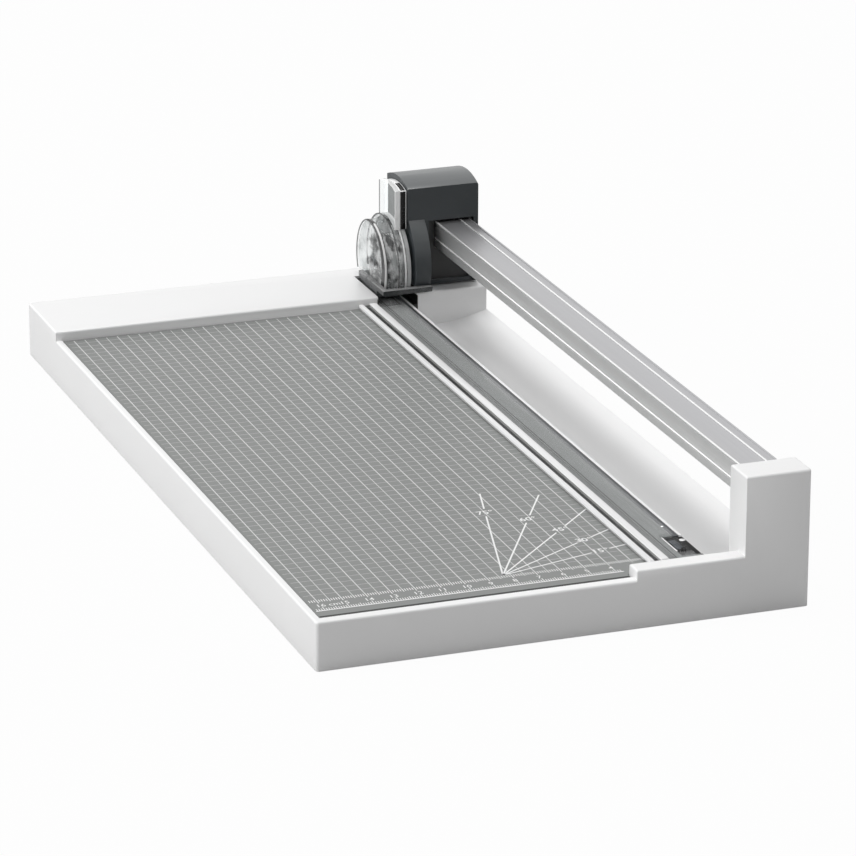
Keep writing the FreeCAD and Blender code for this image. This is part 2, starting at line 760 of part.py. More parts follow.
def make_pillars():
    """Square pillars inside the posts; a long bolt through each pulls the rail down on it."""
    spans = {
        "front": ("side_wall + 0.2", "post_depth"),
        "rear": ("tray_depth - rear_post_depth", "tray_depth - side_wall - 0.2"),
    }
    bolts = []
    for name, bolt_y in PILLARS:
        body = new_body(name + "_rail_pillar")
        front, back = spans[name]
        carry(body, "XY", "gutter_edge + 0.1", "rail_floor", [rect("rail_left", "rail_right", front, back)])
        inner = {"front": (front, "post_depth - side_wall - 0.1"), "rear": (front + " + side_wall + 0.1", back)}
        lower_front, lower_back = inner[name]
        carry(body, "XY", "cover_top", "gutter_edge + 0.2",
              [rect("rail_left", "rail_right", lower_front, lower_back)])
        bore = [("rail_middle", bolt_y, "rail_bolt_radius + 0.1")]
        carry(body, "XY", "cover_top - 1", "rail_floor + 1", circles=bore, cut=True)
        bolts.append(screw(name + "_rail_bolt", "Z", ("rail_middle", bolt_y), "cover_lift",
                           "rail_floor + rail_bolt_bite - 0.5", "rail_bolt_radius",
                           "rail_bolt_radius * 1.7", "-1.1"))
    group("rail_bolts", bolts)


# Carriage

def make_housing():
    """Dark shell over the rail, with an arched top and a loft on its left for the press slide."""
    body = new_body("carriage_housing")
    front, back = "carriage_front", "carriage_back"
    carry(body, "YZ", "carriage_left", "carriage_right", [[
        (front, "shoulder"), (back, "shoulder"), (back, "shell_top", "crown_round"), (front, "shell_top"),
    ]])
    round_edges(body, "edge_round", lambda e: at(e, x="carriage_right") and e.BoundBox.ZMin > value("shoulder"))
    carry(body, "YZ", "arm_right", "carriage_right", [rect(front, back, "carriage_floor", "shoulder")])
    inner = (front + " + shell_wall", back + " - shell_wall")
    carry(body, "XY", "carriage_floor", "room_top", [rect("room_left", "room_right", *inner)], cut=True)
    carry(body, "XY", "loft_floor", "room_top",
          [rect("carriage_left + shell_wall", "room_left + 1", *inner)], cut=True)
    carry(body, "XZ", front + " - 1", back + " + 1",
          [rect("room_left", "room_right", "carriage_floor", "rail_top + 1")], cut=True)
    carry(body, "YZ", "carriage_left - 1", "carriage_left + shell_wall",
          [rect("carriage_middle - 4.6", "carriage_middle + 4.6", "loft_floor", "room_top")], cut=True)
    return body


def make_arm():
    """Bowed arm beside the blade, as deep at its top as the housing that it is screwed to."""
    body = new_body("blade_arm")
    floor = "frame_floor + frame_thick"
    low_half = "sqrt(arm_radius^2 - (wheel_height - (%s))^2)" % floor
    middle = "carriage_middle"
    carry(body, "YZ", "arm_left", "arm_right", [[
        ("%s - %s" % (middle, low_half), floor),
        ("%s + %s" % (middle, low_half), floor, "arm_bulge"),
        ("carriage_back", "shoulder"),
        ("carriage_front", "shoulder", "arm_bulge"),
    ]])
    low, high = floor + " + shell_wall", "shoulder - shell_wall"
    carry(body, "YZ", "arm_left + shell_wall", "arm_right", [
        rect(middle + " - 12", middle + " - 3.2", low, high),
        rect(middle + " + 3.2", middle + " + 12", low, high),
    ], cut=True)
    places = [(middle, "wheel_height - 1"), (middle, "wheel_height + 14")]
    bores = [(y, z, "1.25 + running_gap") for y, z in places]
    carry(body, "YZ", "arm_left + 2.4", "arm_right", circles=bores, cut=True)
    housing = DOC.getObject("carriage_housing")
    carry(housing, "YZ", "arm_right - 1", "room_left + 1", circles=bores, cut=True)
    screws = [
        screw("arm_screw_%d" % n, "X", place, "room_left", "arm_left + 2.8", "1.25", "2.2", "1.2")
        for n, place in enumerate(places, start=1)
    ]
    return screws


def make_frame():
    """Smoked frame round the head's foot, open at the back, fixed under the arm."""
    body = new_body("foot_frame")
    top = "frame_floor + frame_thick"
    left, right = "drum_left - frame_bar - free_gap", "arm_right"
    front, back = "carriage_middle - frame_front_reach", "carriage_middle + frame_back_reach"
    carry(body, "XY", "frame_floor", top, [rect(left, right, front, back)])
    carry(body, "XY", "frame_floor - 1", top + " + 1", [rect(
        left + " + frame_bar", "arm_left", front + " + frame_bar", back + " + 1")], cut=True)
    carry(body, "XY", "shoe_floor", "frame_floor", [rect(
        left, left + " + frame_bar", "carriage_middle - frame_lip_reach", back + " - 0.9")])


def make_bushes():
    """Two black bushes that run on the rail, screwed to the carriage's base plate."""
    names = (("front", "carriage_middle - bush_spread / 2 - bush_depth"), ("rear", "carriage_middle + bush_spread / 2"))
    screws = []
    places = []
    for name, start in names:
        body = new_body("slide_bush_" + name)
        opening = rect("rail_left - running_gap", "rail_right + running_gap",
                       "rail_floor - running_gap", "rail_top + running_gap")
        carry(body, "XZ", start, start + " + bush_depth", [
            rect("bush_left", "bush_right", "base_top", "rail_top + 4"), opening,
        ])
        holes = [(x, start + " + bush_depth / 2", "1.15") for x in ("bush_left + 4", "bush_right - 4")]
        carry(body, "XY", "base_top - 1", "base_top + 7", circles=holes, cut=True)
        places += [(x, y) for x, y, radius in holes]
    base = new_body("carriage_base")
    carry(base, "XY", "carriage_floor", "base_top",
          [rect("bush_left", "bush_right", "carriage_front + 1.2", "carriage_back - 1.2")])
    carry(base, "XY", "carriage_floor - 1", "base_top + 1", circles=[(x, y, "1.3") for x, y in places], cut=True)
    for n, place in enumerate(places, start=1):
        screws.append(screw("base_screw_%d" % n, "Z", place, "carriage_floor", "base_top + 6", "1.13", "2.0", "-0.45"))
    return screws


def make_guides():
    """Two steel pins in the loft and the return springs round them."""
    pins = []
    springs = []
    for n, y in enumerate(("carriage_middle - pin_spread / 2", "carriage_middle + pin_spread / 2"), start=1):
        place = ("arm_right - 2.2", y)
        pins.append(rod("guide_pin_%d" % n, "Z", "pin_radius", "loft_floor", "room_top", place))
        tube = rod("spring_%d_outer" % n, "Z", "pin_radius + 1.1", "loft_floor", "loft_floor + 3.2", place)
        bore = rod("spring_%d_inner" % n, "Z", "pin_radius + 0.25", "loft_floor - 1", "loft_floor + 5", place)
        springs.append(cut("spring_%d" % n, tube, bore))
    group("guide_pins", pins)
    group("return_springs", springs)


# Cutting head

def half_chord(radius, height):
    """Half the width of a circle round the wheel's middle at a given height."""
    return "sqrt((%s)^2 - (wheel_height - (%s))^2)" % (radius, height)


def flat_disc(radius, floor):
    """A disc round the wheel's middle with a flat floor, as an outline."""
    half = half_chord(radius, floor)
    return [
        ("carriage_middle - " + half, floor),
        ("carriage_middle + " + half, floor, radius),
        ("carriage_middle", "wheel_height + " + radius, radius),
    ]


def make_drum():
    """Clear stepped drum that guards the blade, open to the right where the blade runs."""
    body = new_body("blade_guard")
    carry(body, "YZ", "drum_step", "drum_right", [flat_disc("drum_radius", "drum_floor")])
    carry(body, "YZ", "drum_left + drum_wall", "drum_step", [flat_disc("window_radius", "drum_floor")])
    inner_floor = "drum_floor + drum_wall"
    carry(body, "YZ", "drum_step + drum_wall", "drum_right - drum_wall",
          [flat_disc("drum_radius - drum_wall", inner_floor)], cut=True)
    carry(body, "YZ", "drum_left + drum_wall", "drum_step + drum_wall",
          [flat_disc("window_radius - drum_wall", inner_floor)], cut=True)
    carry(body, "YZ", "drum_right - drum_wall", "drum_right",
          circles=[("carriage_middle", "wheel_height", "10.5")], cut=True)


def make_window():
    """Clear round cap that closes the drum, with the boss that holds the axle."""
    body = new_body("guard_cap")
    carry(body, "YZ", "drum_left", "drum_left + drum_wall - 0.05", [flat_disc("window_radius", "drum_floor")])
    carry(body, "YZ", "drum_left + drum_wall - 0.05", "hub_left - 0.1",
          circles=[("carriage_middle", "wheel_height", "4.2")])
    carry(body, "YZ", "drum_left + 0.6", "hub_left",
          circles=[("carriage_middle", "wheel_height", "axle_radius")], cut=True)
    ring = [("carriage_middle", "wheel_height", "6.1"), ("carriage_middle", "wheel_height", "5.1")]
    carry(body, "YZ", "drum_left + drum_wall - 0.05", "drum_left + drum_wall + 2", circles=ring)


def make_blade():
    """Round blade on its hub, the axle that both turn on and the clip that keeps them there."""
    middle = ("carriage_middle", "wheel_height")
    blade = new_body("cutting_blade")
    carry(blade, "YZ", "blade_left", "blade_right", circles=[middle + ("blade_radius",), middle + ("4",)])
    hub = new_body("blade_hub")
    carry(hub, "YZ", "hub_left", "blade_left", circles=[middle + ("6",)])
    carry(hub, "YZ", "blade_left - 1.2", "blade_left", circles=[middle + ("9",)])
    carry(hub, "YZ", "blade_left", "blade_right", circles=[middle + ("4",)])
    carry(hub, "YZ", "drum_step", "arm_left", circles=[middle + ("axle_radius + running_gap",)], cut=True)
    settle(rod("blade_axle", "X", "axle_radius", "drum_left + 0.6", "blade_right + 0.55", middle), "blade_axle")
    axle = DOC.getObject("blade_axle")
    bind(axle, Placement__Base__x="drum_left + 0.6 - tray_width / 2")
    bind(axle, Placement__Base__y="carriage_middle - tray_depth / 2")
    plate = rod("axle_clip_plate", "X", "3.1", "blade_right + 0.05", "blade_right + 0.45", middle)
    hole = rod("axle_clip_hole", "X", "axle_radius", "blade_right - 1", "blade_right + 1", middle)
    settle(cut("axle_clip", plate, hole), "axle_clip")


def make_core():
    """Grey carrier inside the drum, a ring on three spokes round the hub."""
    body = new_body("cartridge_core")
    middle = ("carriage_middle", "wheel_height")
    carry(body, "YZ", "drum_step + drum_wall + 0.1", "drum_right - drum_wall - 0.1",
          circles=[middle + ("17.5",), middle + ("15.5",)])
    carry(body, "YZ", "drum_step + drum_wall + 0.1", "drum_step + drum_wall + 1.1",
          circles=[middle + ("16.5",), middle + ("7",)])
    stops = [rect("carriage_middle - 1.6", "carriage_middle + 1.6", "wheel_height + 16.5",
                  "wheel_height + drum_radius - drum_wall - 0.3")]
    carry(body, "YZ", "drum_step + drum_wall + 0.1", "drum_right - drum_wall - 0.1", stops)
    carry(body, "YZ", "drum_step", "drum_right", [rect(
        "carriage_middle - drum_radius", "carriage_middle + drum_radius",
        "drum_floor - drum_radius", "drum_floor + drum_wall + 0.1")], cut=True)


def grip_piece(name, left, right, inset):
    """An upright slice with the housing's arched top, hollowed below to sit on the drum."""
    body = new_body(name)
    front = "carriage_front + " + inset
    back = "carriage_back - grip_setback - " + inset
    carry(body, "YZ", left, right, [[
        (front, "shoulder + 2.5"), (front, "shoulder - 4"), (back, "shoulder - 4"), (back, "shoulder + 2.5"),
        (back, "shell_top - " + inset, "crown_round"), (front, "shell_top - " + inset),
    ]])
    carry(body, "YZ", left, right,
          circles=[("carriage_middle", "wheel_height", "drum_radius + 0.05")], cut=True)
    return body


def make_grip():
    """Clear grip with a black core beside the housing, pressed down by the fingers."""
    clear = grip_piece("grip_cap", "grip_left", "grip_split", "0.6")
    round_edges(clear, "0.6", lambda e: at(e, x="grip_left") and e.BoundBox.ZMin > value("shoulder"))
    grip_piece("grip_core", "grip_split", "carriage_left - free_gap", "0.9")


def make_press_slide():
    """Slide in the loft that carries the grip down its two guide pins."""
    body = new_body("press_slide")
    low = "loft_floor + 3.3"
    high = "room_top - 0.2"
    middle = "carriage_middle"
    carry(body, "XY", low, high, [
        rect("arm_right - 5.2", "arm_right + 0.9", middle + " - 9", middle + " + 9"),
    ])
    carry(body, "XY", low, high, [
        rect("carriage_left - free_gap", "arm_right - 5", middle + " - 4.2", middle + " + 4.2"),
    ])
    pins = [("arm_right - 2.2", middle + " - pin_spread / 2", "pin_radius + running_gap"),
            ("arm_right - 2.2", middle + " + pin_spread / 2", "pin_radius + running_gap")]
    carry(body, "XY", low + " - 1", high + " + 1", circles=pins, cut=True)


def make_shoe():
    """Smoked shoe under the drum that presses the strip down."""
    body = new_body("press_shoe")
    front, back = "carriage_middle - shoe_front_reach", "carriage_middle + shoe_back_reach"
    left = "drum_left + 0.6"
    right = left + " + shoe_width"
    carry(body, "XZ", front, back, [[
        (left, "shoe_floor + 0.6"), (left + " + 0.6", "shoe_floor"),
        (right + " - 0.6", "shoe_floor"), (right, "shoe_floor + 0.6"),
        (right, "drum_floor"), (left, "drum_floor"),
    ]])


# Making and writing

def check_and_write():
    """Stops on any failed object, then writes one file for each piece."""
    DOC.recompute()
    for thing in DOC.Objects:
        if any(word in thing.State for word in ("Invalid", "Error")):
            raise RuntimeError("%s failed: %s" % (thing.Label, thing.State))
    used = set()
    for thing in DOC.Objects:
        used.update(o.Name for o in thing.OutList if not thing.isDerivedFrom("PartDesign::Body"))
    pieces = [o for o in DOC.Objects if o.isDerivedFrom("PartDesign::Body")]
    pieces += [o for o in DOC.Objects if o.TypeId.startswith("Part::") and o.Name not in used]
    os.makedirs("parts", exist_ok=True)
    for piece in pieces:
        shape = piece.Shape
        if shape.isNull() or not shape.isValid():
            raise RuntimeError("%s has no valid shape" % piece.Label)
        shape.exportStep("parts/%s.step" % piece.Label)
        print("%-22s solids %d volume %.1f" % (piece.Label, len(shape.Solids), shape.Volume))


fill_sheet()
make_tray()
make_cover()
make_feet()
make_cover_screws()
make_bed()
make_fixed_blade()
make_fixtures()
make_rail()
make_pillars()
make_housing()
arm_screws = make_arm()
make_frame()
base_screws = make_bushes()
group("arm_screws", arm_screws)
group("base_screws", base_screws)
make_guides()
make_drum()
make_window()
make_blade()
make_core()
make_grip()
make_press_slide()
make_shoe()
check_and_write()
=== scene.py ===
import json
import math

import bmesh
import bpy
import numpy as np
from mathutils import Matrix, Vector


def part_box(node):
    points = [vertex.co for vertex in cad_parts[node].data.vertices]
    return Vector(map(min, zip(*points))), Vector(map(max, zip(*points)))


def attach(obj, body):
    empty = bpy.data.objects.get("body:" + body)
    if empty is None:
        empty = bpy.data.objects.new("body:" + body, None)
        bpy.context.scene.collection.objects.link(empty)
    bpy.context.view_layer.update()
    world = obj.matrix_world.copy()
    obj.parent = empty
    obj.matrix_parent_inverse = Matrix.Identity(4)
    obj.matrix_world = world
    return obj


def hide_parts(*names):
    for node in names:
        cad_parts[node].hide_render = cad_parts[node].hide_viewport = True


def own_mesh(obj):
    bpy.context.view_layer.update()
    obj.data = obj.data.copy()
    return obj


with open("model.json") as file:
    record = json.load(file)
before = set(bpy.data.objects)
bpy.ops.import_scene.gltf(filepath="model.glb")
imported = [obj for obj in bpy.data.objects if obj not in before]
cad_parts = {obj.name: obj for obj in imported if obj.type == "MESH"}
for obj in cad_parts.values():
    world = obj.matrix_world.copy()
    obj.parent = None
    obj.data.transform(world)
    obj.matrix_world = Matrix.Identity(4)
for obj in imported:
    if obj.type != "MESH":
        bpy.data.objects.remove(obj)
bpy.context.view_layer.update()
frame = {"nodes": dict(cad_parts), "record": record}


# White tray. One injection moulding in gloss ABS with a fine spark-eroded grain, its lips and
# posts softly rounded. It is the chassis that every other piece is screwed or dropped into.

class Wire:
    """A node's output in a sum: each operator adds the Math node that works it out."""

    def __init__(self, finish, socket):
        self.finish = finish
        self.socket = socket

    def maths(self, word, *given):
        return self.finish.node("ShaderNodeMath", {"operation": word}, dict(enumerate(given)))

    def __add__(self, other):
        return self.maths("ADD", self, other)

    def __mul__(self, other):
        return self.maths("MULTIPLY", self, other)

    def __sub__(self, other):
        return self.maths("SUBTRACT", self, other)

    def __rsub__(self, other):
        return self.maths("SUBTRACT", other, self)

    def __pow__(self, other):
        return self.maths("POWER", self, other)

    def __lt__(self, other):
        return self.maths("LESS_THAN", self, other)

    def __gt__(self, other):
        return self.maths("GREATER_THAN", self, other)

    __radd__ = __add__
    __rmul__ = __mul__

    def least(self, other):
        """The smaller of the two."""
        return self.maths("MINIMUM", self, other)

    def most(self, other):
        """The larger of the two."""
        return self.maths("MAXIMUM", self, other)

    def between(self, low, high):
        """One from low to high, and nothing beyond."""
        return (self > low) * (self < high)

    def ramp(self, *stops):
        """A colour or a level for each place along a ramp."""
        return self.finish.node("ShaderNodeValToRGB", {"stops": stops}, {"Fac": self})


def grey(level):
    """A neutral colour of one linear level."""
    return (level, level, level, 1.0)


class Finish:
    """A material under construction."""

    def __init__(self, name):
        self.material = bpy.data.materials.new(name)
        self.material.use_nodes = True
        self.tree = self.material.node_tree
        self.tree.nodes.clear()
        self.place = self.node("ShaderNodeTexCoord", {}, {}, "Object")

    def node(self, kind, settings, inputs, output=0):
        """Adds a node: its settings first, then the values or wires of its sockets."""
        made = self.tree.nodes.new(kind)
        for word, setting in settings.items():
            if word == "stops":
                self.set_stops(made.color_ramp, setting)
            else:
                setattr(made, word, setting)
        for word, given in inputs.items():
            self.feed(made.inputs[word], given)
        return Wire(self, made.outputs[output])

    def feed(self, socket, given):
        """A wire is linked to a socket, and anything else is set on it."""
        if isinstance(given, Wire):
            self.tree.links.new(given.socket, socket)
        else:
            socket.default_value = given

    @staticmethod
    def set_stops(ramp, stops):
        while len(ramp.elements) < len(stops):
            ramp.elements.new(1.0)
        for element, (place, level) in zip(ramp.elements, stops):
            element.position = place
            element.color = level if isinstance(level, tuple) else grey(level)

    def part(self, letter):
        """One coordinate of the point on the piece, in metres."""
        return self.node("ShaderNodeSeparateXYZ", {}, {0: self.place}, "XYZ".index(letter))

    def facing(self):
        """Nothing where the surface is seen face on, and one where it is seen edge on."""
        return self.node("ShaderNodeLayerWeight", {}, {"Blend": 0.5}, "Facing")

    def upward(self):
        """How much of the surface's direction is up: one on a level top, nothing on a wall."""
        normal = self.node("ShaderNodeNewGeometry", {}, {}, "Normal")
        return self.node("ShaderNodeSeparateXYZ", {}, {0: normal}, 2)

    def stretched(self, x, y, z):
        """The place with each coordinate multiplied, for grain that runs one way."""
        return self.node("ShaderNodeVectorMath", {"operation": "MULTIPLY"}, {
            0: self.place, 1: (x, y, z)})

    def noise(self, scale, detail=2.0, rough=0.5, where=None):
        return self.node("ShaderNodeTexNoise", {}, {
            "Vector": where or self.place, "Scale": scale, "Detail": detail, "Roughness": rough})

    def mix(self, share, first, second):
        """A colour between two others."""
        return self.node("ShaderNodeMix", {"data_type": "RGBA"}, {
            0: share, 6: first, 7: second}, 2)

    def bump(self, height, strength, depth):
        return self.node("ShaderNodeBump", {}, {
            "Height": height, "Strength": strength, "Distance": depth})

    def surface(self, **sockets):
        """The surface's shader, with underscores in its sockets' names for spaces."""
        named = {word.replace("_", " "): given for word, given in sockets.items()}
        return self.node("ShaderNodeBsdfPrincipled", {}, named)

    def glass(self, tint):
        """Clear material of one tint, which lets what lies behind it show."""
        return self.node("ShaderNodeBsdfTransparent", {}, {"Color": tint})

    def layered(self, cover, under, over):
        """Two shaders, the upper one shown as far as cover says."""
        return self.node("ShaderNodeMixShader", {}, {0: cover, 1: under, 2: over})

    def done(self, shader):
        output = self.tree.nodes.new("ShaderNodeOutputMaterial")
        self.tree.links.new(shader.socket, output.inputs["Surface"])
        return self.material


def moulded(name, low, high, roughness, grain=2600.0, depth=0.00002, shine=0.5):
    """Moulded plastic: two close tones in slow clouds, fine eroded grain and uneven polish."""
    made = Finish(name)
    clouds = made.noise(18.0, 3.0)
    base = made.mix(clouds, low, high)
    fine = made.noise(grain, 2.0)
    worn = made.noise(70.0, 4.0) * 0.12 + (roughness - 0.06)
    return made.done(made.surface(
        Base_Color=base, Roughness=worn, Specular_IOR_Level=shine,
        Normal=made.bump(fine, 0.25, depth)))


def dress(node, material):
    """Gives a CAD piece its finish."""
    mesh = frame["nodes"][node].data
    mesh.materials.clear()
    mesh.materials.append(material)


bodies = frame["record"]["behaviour"]["bodies"]
body_of = {node: body for body, nodes in bodies.items() for node in nodes}


def stand_for(piece, node, *more):
    """Lets a finer piece take the place of CAD pieces, on their body."""
    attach(piece, body_of[node])
    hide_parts(node, *more)
    return piece


def shown(name, data):
    """An object at the origin that shows a mesh, a lamp's light or a camera's view."""
    thing = bpy.data.objects.new(name, data)
    bpy.context.scene.collection.objects.link(thing)
    return thing


def points_of(mesh):
    """A mesh's points as rows of x, y and z."""
    places = np.zeros(len(mesh.vertices) * 3)
    mesh.vertices.foreach_get("co", places)
    return places.reshape(-1, 3)


def softened(node, width, material, angle=30.0, round_over=None):
    """A CAD piece whose triangles are joined into flat faces and whose edges are rounded a little.

    round_over holds a wider radius and a test that picks the edges it is for from their ends.
    """
    mesh = frame["nodes"][node].data.copy()
    piece = shown(node + "_soft", mesh)
    same_place = 0.000002
    same_plane = math.radians(0.5)
    work = bmesh.new()
    work.from_mesh(mesh)
    bmesh.ops.remove_doubles(work, verts=work.verts, dist=same_place)
    bmesh.ops.dissolve_limit(work, angle_limit=same_plane, verts=work.verts, edges=work.edges)
    work.to_mesh(mesh)
    work.free()
    mesh.materials.clear()
    mesh.materials.append(material)
    mesh.polygons.foreach_set("use_smooth", np.ones(len(mesh.polygons), bool))
    if round_over:
        ends = np.zeros(len(mesh.edges) * 2, int)
        mesh.edges.foreach_get("vertices", ends)
        chosen = round_over[1](points_of(mesh)[ends.reshape(-1, 2)])
        weights = mesh.attributes.new("bevel_weight_edge", "FLOAT", "EDGE")
        weights.data.foreach_set("value", chosen.astype(float))
        rounding = piece.modifiers.new("round_over", "BEVEL")
        rounding.width = round_over[0]
        rounding.segments = 5
        rounding.limit_method = "WEIGHT"
        rounding.harden_normals = True
    bevel = piece.modifiers.new("soft_edges", "BEVEL")
    bevel.width = width
    bevel.segments = 3
    bevel.limit_method = "ANGLE"
    bevel.angle_limit = math.radians(angle)
    bevel.harden_normals = True
    return stand_for(piece, node)


tray_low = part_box("base_tray")[0]


def tray_x(millimetres):
    """A distance from the tray's left side, as the frame's X in metres."""
    return tray_low.x + millimetres * 0.001


def tray_y(millimetres):
    """A distance from the tray's front, as the frame's Y in metres."""
    return tray_low.y + millimetres * 0.001


slot_left, slot_right = 151.7, 171.3
slot_front, slot_back = 358.8, 392.4
slot_brim = 0.0234


def tray_finish():
    """White ABS with slow clouds of tone and eroded grain; inside the blade's slot it is painted
    black as shade.
    """
    made = Finish("white_abs")
    clouds = made.noise(18.0, 3.0)
    # Painted shade: inside the blade's slot, below its brim, the white tray is painted near black.
    slot = made.part("X").between(tray_x(slot_left), tray_x(slot_right))
    slot = slot * made.part("Y").between(tray_y(slot_front), tray_y(slot_back))
    slot = slot * (made.part("Z") < slot_brim)
    base = made.mix(slot, made.mix(clouds, grey(0.84), grey(0.87)), grey(0.012))
    worn = made.noise(70.0, 4.0) * 0.12 + 0.26
    return made.done(made.surface(
        Base_Color=base, Roughness=worn, Coat_Weight=0.15, Coat_Roughness=0.12,
        Normal=made.bump(made.noise(2600.0), 0.25, 0.00002)))


softened("base_tray", 0.0003, tray_finish())


def in_tray(x, y, z):
    """Workshop millimetres from the tray's front left corner, as metres in the frame."""
    return np.stack(np.broadcast_arrays(
        tray_x(np.asarray(x)), tray_y(np.asarray(y)), np.asarray(z) * 0.001), -1)


# Bottom cover, feet and their screws. The cover is grey polystyrene pressed with a coarse leather
# grain; the feet are black rubber discs pushed into it; the screws are zinc plated steel.

cover_grey = moulded("cover_grey", grey(0.24), grey(0.28), 0.55, grain=900.0, depth=0.0001)
dress("bottom_cover", cover_grey)
rubber = Finish("foot_rubber")
rubber_dust = rubber.noise(240.0, 4.0)
foot_rubber = rubber.done(rubber.surface(
    Base_Color=rubber.mix(rubber_dust, grey(0.014), grey(0.04)), Roughness=rubber_dust * 0.2 + 0.6,
    Normal=rubber.bump(rubber.noise(3000.0), 0.3, 0.00003)))
for side in ("front_left", "front_right", "rear_left", "rear_right"):
    dress("foot_" + side, foot_rubber)


def worked_metal(name, colour, roughness, along, streak=0.35, depth=0.000006):
    """Metal with fine lines that run along one axis, left by a wheel, a die or a brush."""
    made = Finish(name)
    squeeze = [2600.0, 2600.0, 2600.0]
    squeeze["XYZ".index(along)] = 14.0
    lines = made.noise(1.0, 3.0, 0.6, made.stretched(*squeeze))
    clouds = made.noise(30.0, 3.0)
    dull = tuple(channel * (1.0 - streak * 0.4) for channel in colour[:3]) + (1.0,)
    base = made.mix(lines * 0.6 + clouds * 0.4, dull, colour)
    return made.done(made.surface(
        Base_Color=base, Metallic=1.0, Roughness=lines * 0.14 + clouds * 0.06 + (roughness - 0.08),
        Normal=made.bump(lines, 0.3, depth)))


zinc = worked_metal("zinc_plate", (0.62, 0.62, 0.65, 1.0), 0.38, "Z")
for node in ("cover_screws", "fixed_blade_screws", "rail_bolts", "arm_screws", "base_screws"):
    dress(node, zinc)


# Printed bed. A steel sheet in mid grey powder paint, dropped into the tray. Its centimetre grid,
# its double ruler with millimetre marks and the fan of angles are screen printed in white ink.

def bed_paint():
    """Fine grained grey paint, a little darker where the coat is thin."""
    made = Finish("bed_paint")
    speck = made.noise(1500.0, 3.0, 0.7)
    clouds = made.noise(14.0, 4.0)
    thin, thick = (0.185, 0.192, 0.187, 1.0), (0.230, 0.238, 0.232, 1.0)
    return made.done(made.surface(
        Base_Color=made.mix(speck * 0.5 + clouds * 0.5, thin, thick),
        Roughness=clouds * 0.15 + 0.4, Normal=made.bump(speck, 0.3, 0.00002)))


def white_ink(name, low, high):
    """Matt screen ink, thinner in places so that the grey shows through as a cooler white."""
    made = Finish(name)
    cover = made.noise(700.0, 4.0, 0.7)
    return made.done(made.surface(
        Base_Color=made.mix(cover, low, high), Roughness=cover * 0.2 + 0.45,
        Normal=made.bump(cover, 0.2, 0.00001)))


def ribbons(starts, ends, widths, height):
    """Flat printed lines: each is the rectangle that its width sweeps from start to end."""
    starts = np.asarray(starts, float).reshape(-1, 2)
    ends = np.asarray(ends, float).reshape(-1, 2)
    run = ends - starts
    run /= np.linalg.norm(run, axis=1)[:, None]
    aside = np.stack([-run[:, 1], run[:, 0]], 1) * np.broadcast_to(widths, len(run))[:, None] / 2
    corners = np.stack([starts - aside, ends - aside, ends + aside, starts + aside], 1)
    corners = corners.reshape(-1, 2)
    points = in_tray(corners[:, 0], corners[:, 1], height)
    faces = np.arange(len(points)).reshape(-1, 4)
    return points, faces.tolist()


def lettering(words, spots, size, height, weight=0.03):
    """Flat figures, each centred on its spot: an outline font filled and moved into place."""
    points, faces = [], []
    count = 0
    for text, (x, y) in zip(words, spots):
        curve = bpy.data.curves.new("figure", "FONT")
        curve.body = text
        curve.size = size
        curve.offset = weight
        curve.align_x = "CENTER"
        curve.align_y = "CENTER"
        curve.resolution_u = 3
        holder = shown("figure", curve)
        bpy.context.view_layer.update()
        flat = bpy.data.meshes.new_from_object(holder)
        places = points_of(flat)
        points.append(in_tray(x + places[:, 0], y + places[:, 1], height))
        faces += [[count + v for v in polygon.vertices] for polygon in flat.polygons]
        count += len(places)
        bpy.data.objects.remove(holder)
        bpy.data.curves.remove(curve)
        bpy.data.meshes.remove(flat)
    return np.concatenate(points), faces


def piece_of(name, parts, materials, smooth=False):
    """One object from lists of points and faces, where each part has a finish of its own."""
    mesh = bpy.data.meshes.new(name)
    points, faces, finish = [], [], []
    count = 0
    for number, (spots, polygons) in enumerate(parts):
        points.append(spots)
        faces += [[count + v for v in polygon] for polygon in polygons]
        finish += [min(number, len(materials) - 1)] * len(polygons)
        count += len(spots)
    mesh.from_pydata(np.concatenate(points).tolist(), [], faces)
    for material in materials:
        mesh.materials.append(material)
    mesh.polygons.foreach_set("material_index", finish)
    if smooth:
        mesh.polygons.foreach_set("use_smooth", np.ones(len(faces), bool))
    mesh.update()
    return shown(name, mesh)


dress("bed_plate", bed_paint())
bed_low, bed_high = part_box("bed_plate")
ink_rise = 0.03
thin_coat = 0.01
print_top = bed_high.z * 1000 + ink_rise
bed_left = (bed_low.x - tray_low.x) * 1000
bed_back = (bed_high.y - tray_low.y) * 1000
print_left = bed_left + 1.0
zero_x = 167.9
ruler_back = 23.6
ruler_front = 12.2
step_edge = 130.9
grid_right = 149.6
grid_step = 5.0
heavy_line, fine_line, ray_line, mark_line = 0.42, 0.30, 0.7, 0.36


def printed_grid():
    """Lines each 5 mm both ways, those on whole centimetres a little heavier."""
    across = zero_x - grid_step * np.arange(4, 33)
    across = across[(across > print_left) & (across < grid_right)]
    past = (zero_x - across) % 10.0
    whole = np.isclose(past, 0.0) | np.isclose(past, 10.0)
    along = ruler_back + grid_step * np.arange(1, 67)
    along = along[along < bed_back - 2.0]
    upright = ribbons(
        np.stack([across, np.full_like(across, ruler_back)], 1),
        np.stack([across, np.full_like(across, bed_back - 1.0)], 1),
        np.where(whole, heavy_line, fine_line), print_top - thin_coat)
    level = ribbons(
        np.stack([np.full_like(along, bed_left + 1.2), along], 1),
        np.stack([np.full_like(along, grid_right), along], 1),
        fine_line, print_top - 1.5 * thin_coat)
    return upright, level


